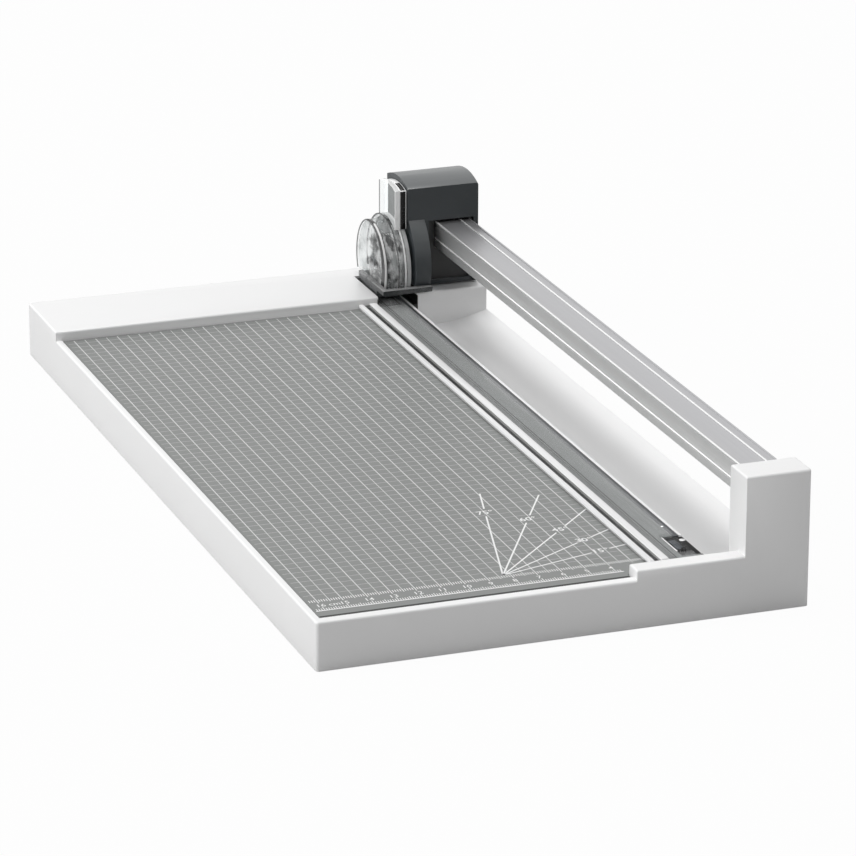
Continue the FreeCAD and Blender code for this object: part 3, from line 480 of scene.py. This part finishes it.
def printed_ruler():
    """Two facing rows of millimetre marks, with longer ones each 5 and 10 mm."""
    long_mark, middle_mark, short_mark = 3.6, 3.0, 2.3
    marks = zero_x - np.arange(19.0, 164.0)
    millimetre = np.round(zero_x - marks)
    inside = marks > print_left
    marks, millimetre = marks[inside], millimetre[inside]
    reach = np.where(millimetre % 10 == 0, long_mark,
                     np.where(millimetre % 5 == 0, middle_mark, short_mark))
    upper = ribbons(np.stack([marks, np.full_like(marks, ruler_back)], 1),
                    np.stack([marks, ruler_back - reach], 1), mark_line, print_top)
    seen = marks < step_edge
    lower = ribbons(np.stack([marks[seen], np.full(seen.sum(), ruler_front)], 1),
                    np.stack([marks[seen], ruler_front + reach[seen]], 1), mark_line, print_top)
    rule = ribbons([[print_left, ruler_front]], [[step_edge, ruler_front]],
                   ray_line, print_top + thin_coat)
    return upper, lower, rule


fan_x, fan_y = 84.9, 23.9
angle_reach = {75: 70.0, 60: 63.4, 45: 56.2, 30: 51.0, 15: 47.4}
longest_ray = 92.0


def printed_fan():
    """Five rays from one point, each broken where its angle is written across it."""
    gap_at_start, gap_before, gap_after = 0.8, 4.2, 4.4
    turns = np.radians(list(angle_reach))
    label = np.array(list(angle_reach.values()))
    reach = np.minimum((grid_right - fan_x) / np.cos(turns), longest_ray)
    ahead = np.stack([np.cos(turns), np.sin(turns)], 1)
    near, far = label - gap_before, label + gap_after
    origin = np.array([fan_x, fan_y])
    starts = np.concatenate([origin + gap_at_start * ahead, origin + far[:, None] * ahead])
    ends = np.concatenate([origin + near[:, None] * ahead, origin + reach[:, None] * ahead])
    return ribbons(starts, ends, ray_line, print_top + 2 * thin_coat)


fan_spots = [(fan_x + reach * math.cos(math.radians(angle)),
              fan_y + reach * math.sin(math.radians(angle)))
             for angle, reach in angle_reach.items()]
figures = [str(n) for n in range(15, 3, -1)]
figure_line = 17.3
figure_size = 4.0
figure_aside = 0.4
unit_aside = 2.9
angle_size = 5.2
figure_spots = [(zero_x - 10.0 * int(n) - figure_aside, figure_line) for n in figures]
unit_spot = (zero_x - 160.0 + unit_aside, figure_line)
ink = white_ink("white_ink", grey(0.78), grey(0.90))
middle_ink = white_ink("middle_ink", grey(0.62), grey(0.74))
faint_ink = white_ink("faint_ink", grey(0.44), grey(0.52))
grid_upright, grid_level = printed_grid()
upper_marks, lower_marks, rule = printed_ruler()
marking = piece_of("bed_print", [
    upper_marks, lower_marks, rule, printed_fan(),
    lettering(figures, figure_spots, figure_size, print_top + thin_coat),
    lettering(["16 cm"], [unit_spot], figure_size, print_top + thin_coat),
    lettering([str(angle) + "°" for angle in angle_reach], fan_spots, angle_size,
              print_top + 2 * thin_coat, weight=0.07),
], [ink])
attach(marking, "base")
grid_lines = piece_of("bed_grid", [grid_upright, grid_level], [middle_ink, faint_ink])
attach(grid_lines, "base")
# Painted shadow: a thin strip in the black rubber finish along the bed's front edge stands for the
# shadow in the gap between the bed and the front lip.
gap_shade_line, gap_shade_width = 5.75, 2.5
front_gap_shade = piece_of("bed_front_gap_shade", [ribbons(
    [[bed_left + 0.4, gap_shade_line]], [[step_edge, gap_shade_line]], gap_shade_width, print_top)], [foot_rubber])
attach(front_gap_shade, "base")


# Fixed blade. A hardened steel bar ground on its top and on the cutting side, let into a groove at
# the bed's right edge and screwed up from below. The round blade runs along its ground arris, which
# carries a painted highlight.

ground_steel = worked_metal("ground_steel", (0.62, 0.63, 0.65, 1.0), 0.3, "Y")


def blued_bar():
    """Blued hardened steel, ground along the cutting arris on its right, where a painted highlight
    makes the arris near white.
    """
    made = Finish("blued_bar")
    ground_width = 0.0013
    # Painted highlight: the ground arris is painted near white and made less metallic.
    ground = made.part("X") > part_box("fixed_blade")[1].x - ground_width
    lines = made.noise(1.0, 3.0, 0.6, made.stretched(2600.0, 14.0, 2600.0))
    dark = made.mix(lines, (0.085, 0.088, 0.095, 1.0), (0.15, 0.155, 0.165, 1.0))
    return made.done(made.surface(
        Base_Color=made.mix(ground, dark, grey(0.97)), Metallic=0.7 - ground * 0.55,
        Roughness=lines * 0.15 + 0.3 - ground * 0.1, Normal=made.bump(lines, 0.3, 0.000006)))


softened("fixed_blade", 0.00025, blued_bar())


# Rail and pillars. A rectangular aluminium extrusion, satin anodised, with raised ridges; its
# finish paints highlights on edge, ridge and shelf. A bolt through each pillar pulls it down in its
# post.

def rail_finish():
    """Satin anodising with die lines along the bar, with painted highlights on edge, ridge and
    shelf and a painted paler left flank.
    """
    made = Finish("satin_anodised")
    across, up = made.part("X"), made.part("Z")
    rail_low, rail_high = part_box("rail")
    ridge_right = rail_high.x - 0.0042
    flank_right = rail_low.x + 0.0006
    flank = across < flank_right
    ridge = across.between(ridge_right - 0.0009, ridge_right) * (up > rail_high.z - 0.0003)
    edge = across.between(rail_low.x - 0.0001, rail_low.x + 0.0008)
    edge = edge * (up > rail_high.z - 0.0010)
    shelf = up.between(rail_low.z + 0.0037, rail_low.z + 0.0045) * flank
    # Painted highlights along the left top edge, the ridge and the shelf.
    bright = (ridge + edge + shelf).least(1.0)
    lines = made.noise(1.0, 4.0, 0.65, made.stretched(3200.0, 9.0, 3200.0))
    broad = made.noise(1.0, 2.0, 0.5, made.stretched(520.0, 5.0, 520.0))
    dull, pale = (0.39, 0.39, 0.40, 1.0), (0.53, 0.53, 0.54, 1.0)
    satin = made.mix(lines * 0.6 + broad * 0.4, dull, pale)
    # Painted light: the left flank, which faces the side lamp, is painted paler.
    satin = made.mix(flank, satin, made.mix(lines, grey(0.72), grey(0.82)))
    base = made.mix(bright, satin, grey(0.97))
    return made.done(made.surface(
        Base_Color=base, Metallic=1.0 - bright * 0.35, Roughness=0.36 + lines * 0.12 - bright * 0.2,
        Normal=made.bump(lines, 0.25, 0.000008)))


softened("rail", 0.00018, rail_finish(), angle=25.0)
cast_aluminium = moulded("cast_aluminium", grey(0.30), grey(0.42), 0.5, grain=700.0, depth=0.00006)
softened("front_rail_pillar", 0.0003, cast_aluminium)
softened("rear_rail_pillar", 0.0003, cast_aluminium)


# Seats of the clamp strip. Black acetal blocks on the deck, each with a guide pin or a stop, and a
# bowed leaf of spring steel that lifts the strip off the paper once the head lets go.

black_acetal = moulded("black_acetal", grey(0.005), grey(0.012), 0.62, shine=0.12)
softened("front_strip_seat", 0.00015, black_acetal)
softened("rear_strip_seat", 0.00015, black_acetal)
spring_steel = worked_metal("spring_steel", (0.56, 0.57, 0.60, 1.0), 0.26, "Y")
dress("axle_clip", spring_steel)
blued_spring = worked_metal("blued_spring", (0.10, 0.105, 0.12, 1.0), 0.45, "Y")
for node in ("front_leaf_spring", "rear_leaf_spring"):
    leaf = softened(node, 0.00003, blued_spring)
    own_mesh(leaf)


# Clamp strip. Extruded clear acrylic laid along the cut. Two raised ribs stiffen its left side and
# a fine groove marks the fold; the head's shoe presses it on the paper.

def clear_plastic(name, tint, body, edge, roughness=0.06):
    """Clear plastic: its reflections over what lies behind, whiter where it is seen edge on."""
    made = Finish(name)
    scuff = made.noise(260.0, 4.0)
    cover = made.facing() ** 4.0 * edge + scuff * 0.03 + body
    solid = made.surface(
        Base_Color=made.mix(scuff, tuple(c * 0.92 for c in tint[:3]) + (1.0,), tint),
        Roughness=scuff * 0.08 + roughness, Normal=made.bump(made.noise(900.0), 0.08, 0.00002))
    return made.done(made.layered(cover, made.glass((0.97, 0.98, 0.98, 1.0)), solid))


strip_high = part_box("clamp_strip")[1]
rib_rise = 0.6
strip_flat = strip_high.z * 1000 - rib_rise
left_rib = (142.5, 144.65)
right_rib = (147.6, 150.9)
scored_line = (154.25, 154.75)
clear_x, clear_y = (157.2, 168.0), (20.5, 41.0)


def strip_finish():
    """Clear acrylic: its two ribs are frosted white, the web between them reads dark, a line is
    scored along the fold, and over the front seat it is polished clear."""
    made = Finish("strip_acrylic")
    across, along = made.part("X"), made.part("Y")
    drawn = made.noise(1.0, 3.0, 0.6, made.stretched(1500.0, 6.0, 1500.0))
    ribs = across.between(*map(tray_x, left_rib)) + across.between(*map(tray_x, right_rib))
    web = across.between(tray_x(left_rib[1]), tray_x(right_rib[0]))
    score = across.between(*map(tray_x, scored_line))
    clear = across.between(*map(tray_x, clear_x)) * along.between(*map(tray_y, clear_y))
    cover = ribs * 0.74 + web * 0.06 + score * 0.6
    cover = cover + made.facing() ** 4.0 * 0.3 + drawn * 0.06 + 0.09
    cover = (cover * (1.0 - clear * 0.85)).least(1.0)
    tone = made.mix(ribs, made.mix(web + score, grey(0.62), grey(0.05)), grey(0.9))
    solid = made.surface(Base_Color=tone, Roughness=drawn * 0.1 + 0.08,
                         Normal=made.bump(drawn, 0.1, 0.00001))
    behind = made.layered(web, made.glass((0.95, 0.96, 0.96, 1.0)), made.glass(grey(0.80)))
    return made.done(made.layered(cover, behind, solid))


softened("clamp_strip", 0.0002, strip_finish(), angle=25.0)
# Painted highlight: a thin ribbon of white ink along the left edge of the strip's polished window.
edge_x, edge_front, edge_back = 157.3, 21.5, 37.5
edge_width, edge_rise = 0.55, 0.05
window_edge_highlight = piece_of("strip_window_edge", [ribbons(
    [[edge_x, edge_front]], [[edge_x, edge_back]], edge_width, strip_flat + edge_rise)],
    [white_ink("window_edge_highlight", grey(0.85), grey(0.93))])
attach(window_edge_highlight, "clamp")


def button(x, y, floor, radius, height, sides=20, rings=5):
    """A low round head: a half circle squashed to its height and turned about its middle."""
    turn = np.linspace(0.0, 2 * np.pi, sides, endpoint=False)
    rise = np.linspace(0.0, np.pi / 2, rings, endpoint=False)[:, None]
    points = in_tray(x + radius * np.cos(rise) * np.cos(turn),
                     y + radius * np.cos(rise) * np.sin(turn),
                     floor + height * np.sin(rise)).reshape(-1, 3)
    crown = in_tray(x, y, floor + height).reshape(1, 3)
    index = np.arange(rings * sides).reshape(rings, sides)
    nxt = np.roll(index, -1, 1)
    faces = np.stack([index[:-1], nxt[:-1], nxt[1:], index[1:]], -1).reshape(-1, 4).tolist()
    faces += [[a, b, rings * sides] for a, b in zip(index[-1], nxt[-1])] + [index[0][::-1].tolist()]
    return np.concatenate([points, crown]), faces


bright_rivet = worked_metal("bright_rivet", grey(0.95), 0.3, "Y", 0.1)
rivet_sunk, rivet_height = 0.02, 0.17
rivets = piece_of("strip_rivets", [
    button(x, y, strip_flat - rivet_sunk, radius, rivet_height)
    for x, y, radius in ((162.4, 49.2, 0.6), (164.1, 32.7, 1.3))], [bright_rivet], smooth=True)
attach(rivets, "clamp")


# Carriage. A slate grey ABS housing over the rail with a bowed arm beside the blade, two black
# acetal bushes that run on the rail, a base plate under them and a smoked frame round the foot.

def slate_finish():
    """Slate grey ABS with an eroded grain; what faces up is painted paler, as a highlight where the
    light falls on tops.
    """
    made = Finish("slate_abs")
    up = made.upward().most(0.0) ** 2.0
    clouds = made.noise(18.0, 3.0)
    base = made.mix(clouds, (0.023, 0.028, 0.031, 1.0), (0.033, 0.039, 0.043, 1.0))
    # Painted highlight: faces that point up are painted paler.
    base = made.mix(up * 0.9, base, (0.150, 0.158, 0.160, 1.0))
    return made.done(made.surface(
        Base_Color=base, Roughness=made.noise(70.0, 4.0) * 0.12 + 0.26,
        Coat_Weight=0.08, Coat_Roughness=0.12, Specular_IOR_Level=0.45,
        Normal=made.bump(made.noise(2600.0), 0.25, 0.00002)))


slate_abs = slate_finish()
housing_low, housing_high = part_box("carriage_housing")


def front_outline(ends):
    """Picks the edges that bound the housing's front face, above its shoulder."""
    hair = 0.00005
    crown_depth = 0.0045
    on_front = (ends[:, :, 1] < housing_low.y + hair).all(1)
    high = ends[:, :, 2] > housing_high.z - crown_depth
    at_left = ends[:, :, 0] < housing_low.x + hair
    at_right = ends[:, :, 0] > housing_high.x - hair
    return on_front & (high.all(1) | at_left.all(1) | at_right.all(1))


softened("carriage_housing", 0.0007, slate_abs, round_over=(0.0022, front_outline))
softened("blade_arm", 0.0007, slate_abs)
softened("carriage_base", 0.0003, slate_abs)
bush_acetal = moulded("bush_acetal", grey(0.012), grey(0.026), 0.5)
softened("slide_bush_front", 0.0002, bush_acetal)
softened("slide_bush_rear", 0.0002, bush_acetal)
smoked = clear_plastic("smoked_plastic", (0.035, 0.037, 0.040, 1.0), 0.78, 0.5, 0.12)


def frame_finish():
    """Smoked clear plastic in slow streaks; its top is painted paler as a highlight where the light
    enters it.
    """
    made = Finish("smoked_frame")
    streaks = made.noise(1.0, 3.0, 0.6, made.stretched(150.0, 110.0, 60.0))
    streaks = streaks.ramp((0.40, 0.0), (0.64, 1.0))
    top = made.part("Z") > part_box("foot_frame")[1].z - 0.0003
    tone = made.mix(streaks, (0.030, 0.032, 0.034, 1.0), (0.11, 0.113, 0.116, 1.0))
    # Painted highlight: the top faces are painted paler.
    tone = made.mix(top * 0.6, tone, grey(0.42))
    solid = made.surface(Base_Color=tone, Roughness=streaks * 0.1 + 0.08)
    smoke = made.glass((0.85, 0.86, 0.86, 1.0))
    return made.done(made.layered(0.86 - streaks * 0.3, smoke, solid))


softened("foot_frame", 0.0003, frame_finish())
dress("guide_pins", ground_steel)


# Return springs. Two coils of spring steel wire round the guide pins in the carriage's loft, which
# hold the head up until it is pressed.

def coil(centre, floor, height, radius, wire, turns, sides=8, steps=24):
    """A tube round a helix: the middle line climbs evenly, and each ring is square to it."""
    along = np.linspace(0.0, 1.0, turns * steps + 1)
    angle = along * turns * 2 * np.pi
    middle = np.stack([centre[0] + radius * np.cos(angle), centre[1] + radius * np.sin(angle),
                       floor + wire + along * (height - 2 * wire)], 1)
    out = np.stack([np.cos(angle), np.sin(angle), np.zeros_like(angle)], 1)
    up = np.array([0.0, 0.0, 1.0])
    ring = np.linspace(0.0, 2 * np.pi, sides, endpoint=False)
    points = middle[:, None] + wire * (
        np.cos(ring)[None, :, None] * out[:, None] + np.sin(ring)[None, :, None] * up)
    index = np.arange(points.shape[0] * sides).reshape(-1, sides)
    nxt = np.roll(index, -1, 1)
    faces = np.stack([index[:-1], nxt[:-1], nxt[1:], index[1:]], -1).reshape(-1, 4).tolist()
    faces += [index[0].tolist(), index[-1][::-1].tolist()]
    return points.reshape(-1, 3), faces


spring_low, spring_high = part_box("return_springs")
spring_radius = 0.0019
spring_x = (spring_low.x + spring_high.x) / 2
spring_reach = (spring_high.x - spring_low.x) / 2
wire_radius = 0.0002
spring_turns = 3
coils = [coil((spring_x, y), spring_low.z, spring_high.z - spring_low.z,
              spring_radius, wire_radius, spring_turns)
         for y in (spring_low.y + spring_reach, spring_high.y - spring_reach)]
springs = piece_of("return_coils", coils, [spring_steel], smooth=True)
stand_for(springs, "return_springs")
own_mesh(springs)


# Blade cartridge. The round steel blade rivets to a grey acetal hub and turns on a steel axle; the
# carrier round it and the stepped clear guard come out of the trimmer as one unit.

core_grey = moulded("core_grey", grey(0.30), grey(0.38), 0.42)
blade_steel = worked_metal("blade_steel", (0.72, 0.73, 0.75, 1.0), 0.2, "X", 0.2)
softened("cutting_blade", 0.00004, blade_steel)
softened("blade_hub", 0.0002, core_grey)
softened("cartridge_core", 0.0002, core_grey)
dress("blade_axle", ground_steel)


guard_low, guard_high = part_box("blade_guard")
cap_low, cap_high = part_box("guard_cap")
drum_middle = (guard_low.y + guard_high.y) / 2
drum_radius = (guard_high.y - guard_low.y) / 2
drum_height = guard_high.z - drum_radius
window_radius = (cap_high.y - cap_low.y) / 2


def guard_finish(name, painted_arm_crescent):
    """Thick clear polycarbonate. Grey and white streaks painted on its front bends stand for the
    refracted and reflected image of what is behind it, and a dark arc painted along the window's
    front rim stands for the refracted dark arm."""
    made = Finish(name)
    along, up = made.part("Y"), made.part("Z")
    smeared_back, smeared_top = drum_middle + 0.006, drum_height + 0.0165
    hollow_y, hollow_z, hollow_radius = drum_middle + 0.0033, drum_height + 0.0005, 0.0182
    smears = made.noise(1.0, 3.0, 0.55, made.stretched(420.0, 170.0, 120.0))
    painted_smear = smears.ramp((0.42, 0.0), (0.60, 1.0))
    shade = made.noise(1.0, 2.0, 0.5, made.stretched(300.0, 90.0, 210.0))
    shade = shade.ramp((0.46, 0.0), (0.62, 1.0))
    front = along < smeared_back
    thick = front * ((up < smeared_top) * 0.8 + 0.2)
    outward = (along - hollow_y) ** 2.0 + (up - hollow_z) ** 2.0
    rim = front * (outward > hollow_radius ** 2) * painted_arm_crescent
    # Painted refraction: light and dark streaks on the thick front bends, and the dark arm's arc on
    # the window's front rim.
    cover = made.facing() ** 3.0 * 0.5 + thick * (painted_smear * 0.30 + shade * 0.28) + 0.04
    cover = (rim * 0.93).most(cover)
    tone = made.mix(shade, grey(0.92), grey(0.05))
    tone = made.mix(rim, tone, made.mix(painted_smear, grey(0.012), grey(0.07)))
    solid = made.surface(Base_Color=tone, Roughness=smears * 0.1 + 0.03,
                         Normal=made.bump(made.noise(180.0), 0.1, 0.0001))
    return made.done(made.layered(cover, made.glass((0.97, 0.98, 0.98, 1.0)), solid))


softened("blade_guard", 0.0003, guard_finish("guard_polycarbonate", 0.0))
softened("guard_cap", 0.0003, guard_finish("window_polycarbonate", 1.0))


def arc_band(left, right, inside, outside, floor, first=-1.0, last=1.0, steps=72):
    """A rectangular bead bent round the drum's axis, from its floor over the top and down again.

    first and last are shares of the half turn, below nothing in front and above it behind.
    """
    drop = math.acos(min(1.0, (drum_height - floor) / inside))
    angle = np.linspace(first, last, steps) * (math.pi - drop)
    corner_x = np.array([left, right, right, left])
    corner_r = np.array([inside, inside, outside, outside])
    y = drum_middle + corner_r[None] * np.sin(angle)[:, None]
    z = np.maximum(drum_height + corner_r[None] * np.cos(angle)[:, None], floor)
    points = np.stack([np.broadcast_to(corner_x, y.shape), y, z], -1).reshape(-1, 3)
    index = np.arange(steps * 4).reshape(steps, 4)
    nxt = np.roll(index, -1, 1)
    sides = np.stack([index[:-1], index[1:], nxt[1:], nxt[:-1]], -1).reshape(-1, 4)
    faces = sides.tolist() + [index[0].tolist(), index[-1][::-1].tolist()]
    return points, faces


# Painted reflections and refractions: the beads' white, pale and dark tints stand for the light and
# dark lines that the guard's steps and the window's rim show.
dark_line_bead = clear_plastic("dark_line_bead", grey(0.10), 0.55, 0.1)
white_line_bead = clear_plastic("white_line_bead", grey(0.95), 0.85, 0.1, 0.2)
pale_line_bead = clear_plastic("pale_line_bead", grey(0.80), 0.35, 0.1, 0.2)
rim_turn = -0.10
rim_left = cap_low.x - 0.0001
window_rim = piece_of("guard_window_rim", [
    arc_band(rim_left, cap_low.x + 0.0007, window_radius - 0.0003, window_radius + 0.00015,
             cap_low.z, last=rim_turn),
    arc_band(rim_left, cap_low.x + 0.0003, window_radius - 0.0004, window_radius + 0.0001,
             cap_low.z, first=rim_turn)], [white_line_bead, dark_line_bead])


def on_drum(left, right, sunk, proud):
    """A bead round the drum, let into its wall by sunk and standing out of it by proud."""
    return arc_band(left, right, drum_radius - sunk, drum_radius + proud, guard_low.z)


step_rim = piece_of("guard_step_rim", [on_drum(
    guard_low.x + 0.0045, guard_low.x + 0.0049, sunk=0.0006, proud=0.0001)], [dark_line_bead])
middle_bead = piece_of("guard_middle_bead", [on_drum(
    guard_low.x + 0.0076, guard_low.x + 0.0082, sunk=0.0003, proud=0.00025)], [white_line_bead])
back_rim = piece_of("guard_back_rim", [on_drum(
    guard_high.x - 0.0018, guard_high.x - 0.0001, sunk=0.0003, proud=0.0002)], [pale_line_bead])
for rim in (window_rim, step_rim, middle_bead, back_rim):
    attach(rim, "cutting_head")


# Grip. A clear cap and a gloss black core stand on the guard beside the housing, with the same
# arched top; the fingers press here, and the slide behind it runs on the two guide pins.

level_enough = 0.4
border = 0.0005


def grip_cap_finish():
    """Clear acrylic, frosted white along its front and arched top, with a dark line behind."""
    made = Finish("grip_acrylic")
    near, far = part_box("grip_cap")
    across, along = made.part("X"), made.part("Y")
    front = along < near.y + border
    outline = (along > far.y - border) * (across < near.x + border)
    top = made.upward() > level_enough
    haze = made.noise(160.0, 3.0)
    cover = (front * 0.9).most(top * (haze * 0.5 + 0.35) + outline * 0.7 + 0.05)
    tone = made.mix(outline * (1.0 - top), grey(0.95), grey(0.12))
    solid = made.surface(Base_Color=tone, Roughness=haze * 0.1 + 0.05)
    return made.done(made.layered(cover, made.glass((0.98, 0.99, 0.99, 1.0)), solid))


def pared(piece, axis, hair=0.00006):
    """Draws a piece's far side back by a hair from the piece that it lies on, so that the two don't
    share a surface."""
    mesh = piece.data
    places = points_of(mesh)
    places[places[:, axis] > places[:, axis].max() - 0.00001, axis] -= hair
    mesh.vertices.foreach_set("co", places.ravel())
    mesh.update()


pared(softened("grip_cap", 0.0003, grip_cap_finish()), 0)


def grip_core_finish():
    """Gloss black, with painted highlights along its borders and a painted reflection over its top
    behind; the side, which shows through the cap, is grey in front and white behind, and its white
    part glows with painted light that passes through the clear grip."""
    made = Finish("gloss_black")
    near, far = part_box("grip_core")
    across, along = made.part("X"), made.part("Y")
    top = made.upward() > level_enough
    grey_reach, top_reflection_start = 0.0162, 0.0085
    side = across < near.x + 0.0004
    grey_band = side * (along < near.y + grey_reach)
    # Painted highlights: thin white borders along the front top, the right side and the left top.
    painted_edge_highlight = (along < near.y + 0.0006) * top + (across > far.x - border)
    painted_edge_highlight = painted_edge_highlight + (across < near.x + border) * top
    # Painted reflection: the top behind is painted white.
    painted_top_reflection = (along > near.y + top_reflection_start) * (1.0 - side) * top
    smears = made.noise(90.0, 3.0)
    black = made.mix(smears, grey(0.004), grey(0.010))
    base = made.mix(side, black, grey(0.95))
    base = made.mix(grey_band, base, grey(0.26))
    base = made.mix((painted_edge_highlight + painted_top_reflection).least(1.0), base, grey(0.93))
    # Painted glow: the white back of the side emits light, standing for light passing through the
    # clear grip.
    painted_glow = made.mix(side * (1.0 - grey_band), grey(0.0), grey(0.22))
    return made.done(made.surface(
        Base_Color=base, Roughness=smears * 0.06 + side * 0.5 + 0.10, Specular_IOR_Level=0.25,
        Emission_Color=painted_glow, Emission_Strength=1.0))


softened("grip_core", 0.0003, grip_core_finish())
dress("press_slide", slate_abs)
pared(softened("press_shoe", 0.0003, smoked), 2)


# Studio. A pale floor and white surroundings, a broad lamp high on the left, a smaller one overhead
# and the photograph's viewpoint. Rays from the camera, metal and glass see only plain white.

floor_finish = Finish("pale_floor")
light_path = floor_finish.node("ShaderNodeLightPath", {}, {}, "Is Camera Ray")
floor_seen = light_path * 0.97
floor_matt = floor_finish.node("ShaderNodeBsdfDiffuse", {}, {"Color": grey(0.50)})
floor_white = floor_finish.node("ShaderNodeEmission", {}, {"Color": grey(1.0), "Strength": 1.0})
floor_material = floor_finish.done(floor_finish.layered(floor_seen, floor_matt, floor_white))
floor_half = 4.0
floor_points = np.array([[-1, -1, 0], [1, -1, 0], [1, 1, 0], [-1, 1, 0]]) * floor_half
floor = piece_of("floor", [(floor_points, [[0, 1, 2, 3]])], [floor_material])


class Surroundings(Finish):
    """The world's light, made with the same nodes as a finish."""

    def __init__(self, name):
        self.world = bpy.data.worlds.new(name)
        self.world.use_nodes = True
        self.tree = self.world.node_tree
        self.tree.nodes.clear()

    def done(self, shader):
        output = self.tree.nodes.new("ShaderNodeOutputWorld")
        self.tree.links.new(shader.socket, output.inputs["Surface"])
        return self.world


surroundings = Surroundings("white_surroundings")
kinds = [surroundings.node("ShaderNodeLightPath", {}, {}, kind)
         for kind in ("Is Camera Ray", "Is Glossy Ray", "Is Transmission Ray")]
white_share = (kinds[0] + kinds[1] + kinds[2]).least(1.0)
matt_light = 0.44
bpy.context.scene.world = surroundings.done(surroundings.node("ShaderNodeBackground", {}, {
    "Color": grey(1.0), "Strength": white_share * (1.0 - matt_light) + matt_light}))


def lamp(name, place, aim, size, power):
    """A soft square lamp turned to a point."""
    data = bpy.data.lights.new(name, "AREA")
    data.shape = "SQUARE"
    data.size = size
    data.energy = power
    holder = shown(name, data)
    holder.location = place
    holder.rotation_euler = (Vector(aim) - Vector(place)).to_track_quat("-Z", "Y").to_euler()


lamp("side_lamp", (-3.4, 0.5, 2.0), (0.0, 0.0, 0.0), 2.4, 97.0)
lamp("top_lamp", (0.25, 0.45, 3.5), (0.0, 0.0, 0.0), 1.0, 38.0)

view_place = (-0.64627, -1.81051, 0.69770)
view_yaw, view_pitch, view_roll = 0.35098, 0.33917, 0.00293
focal_pixels = 4820.82
picture_pixels = 856.0
camera_data = bpy.data.cameras.new("viewpoint")
camera_data.sensor_width = 36.0
camera_data.lens = focal_pixels / picture_pixels * camera_data.sensor_width
camera = shown("viewpoint", camera_data)


def looking(yaw, pitch, roll):
    """A camera's turn: yaw right of straight ahead, pitch down, roll about the sight line."""
    level = math.cos(pitch)
    ahead = np.array([math.sin(yaw) * level, math.cos(yaw) * level, -math.sin(pitch)])
    right = np.array([math.cos(yaw), -math.sin(yaw), 0.0])
    above = np.cross(right, ahead)
    turned = math.cos(roll) * right + math.sin(roll) * above
    top = -math.sin(roll) * right + math.cos(roll) * above
    return Matrix(np.stack([turned, top, -ahead], 1).tolist())


turn = looking(view_yaw, view_pitch, view_roll).to_4x4()
turn.translation = view_place
camera.matrix_world = turn
camera_data.clip_start = 0.01
bpy.context.scene.camera = camera
bpy.context.scene.view_settings.view_transform = "Standard"
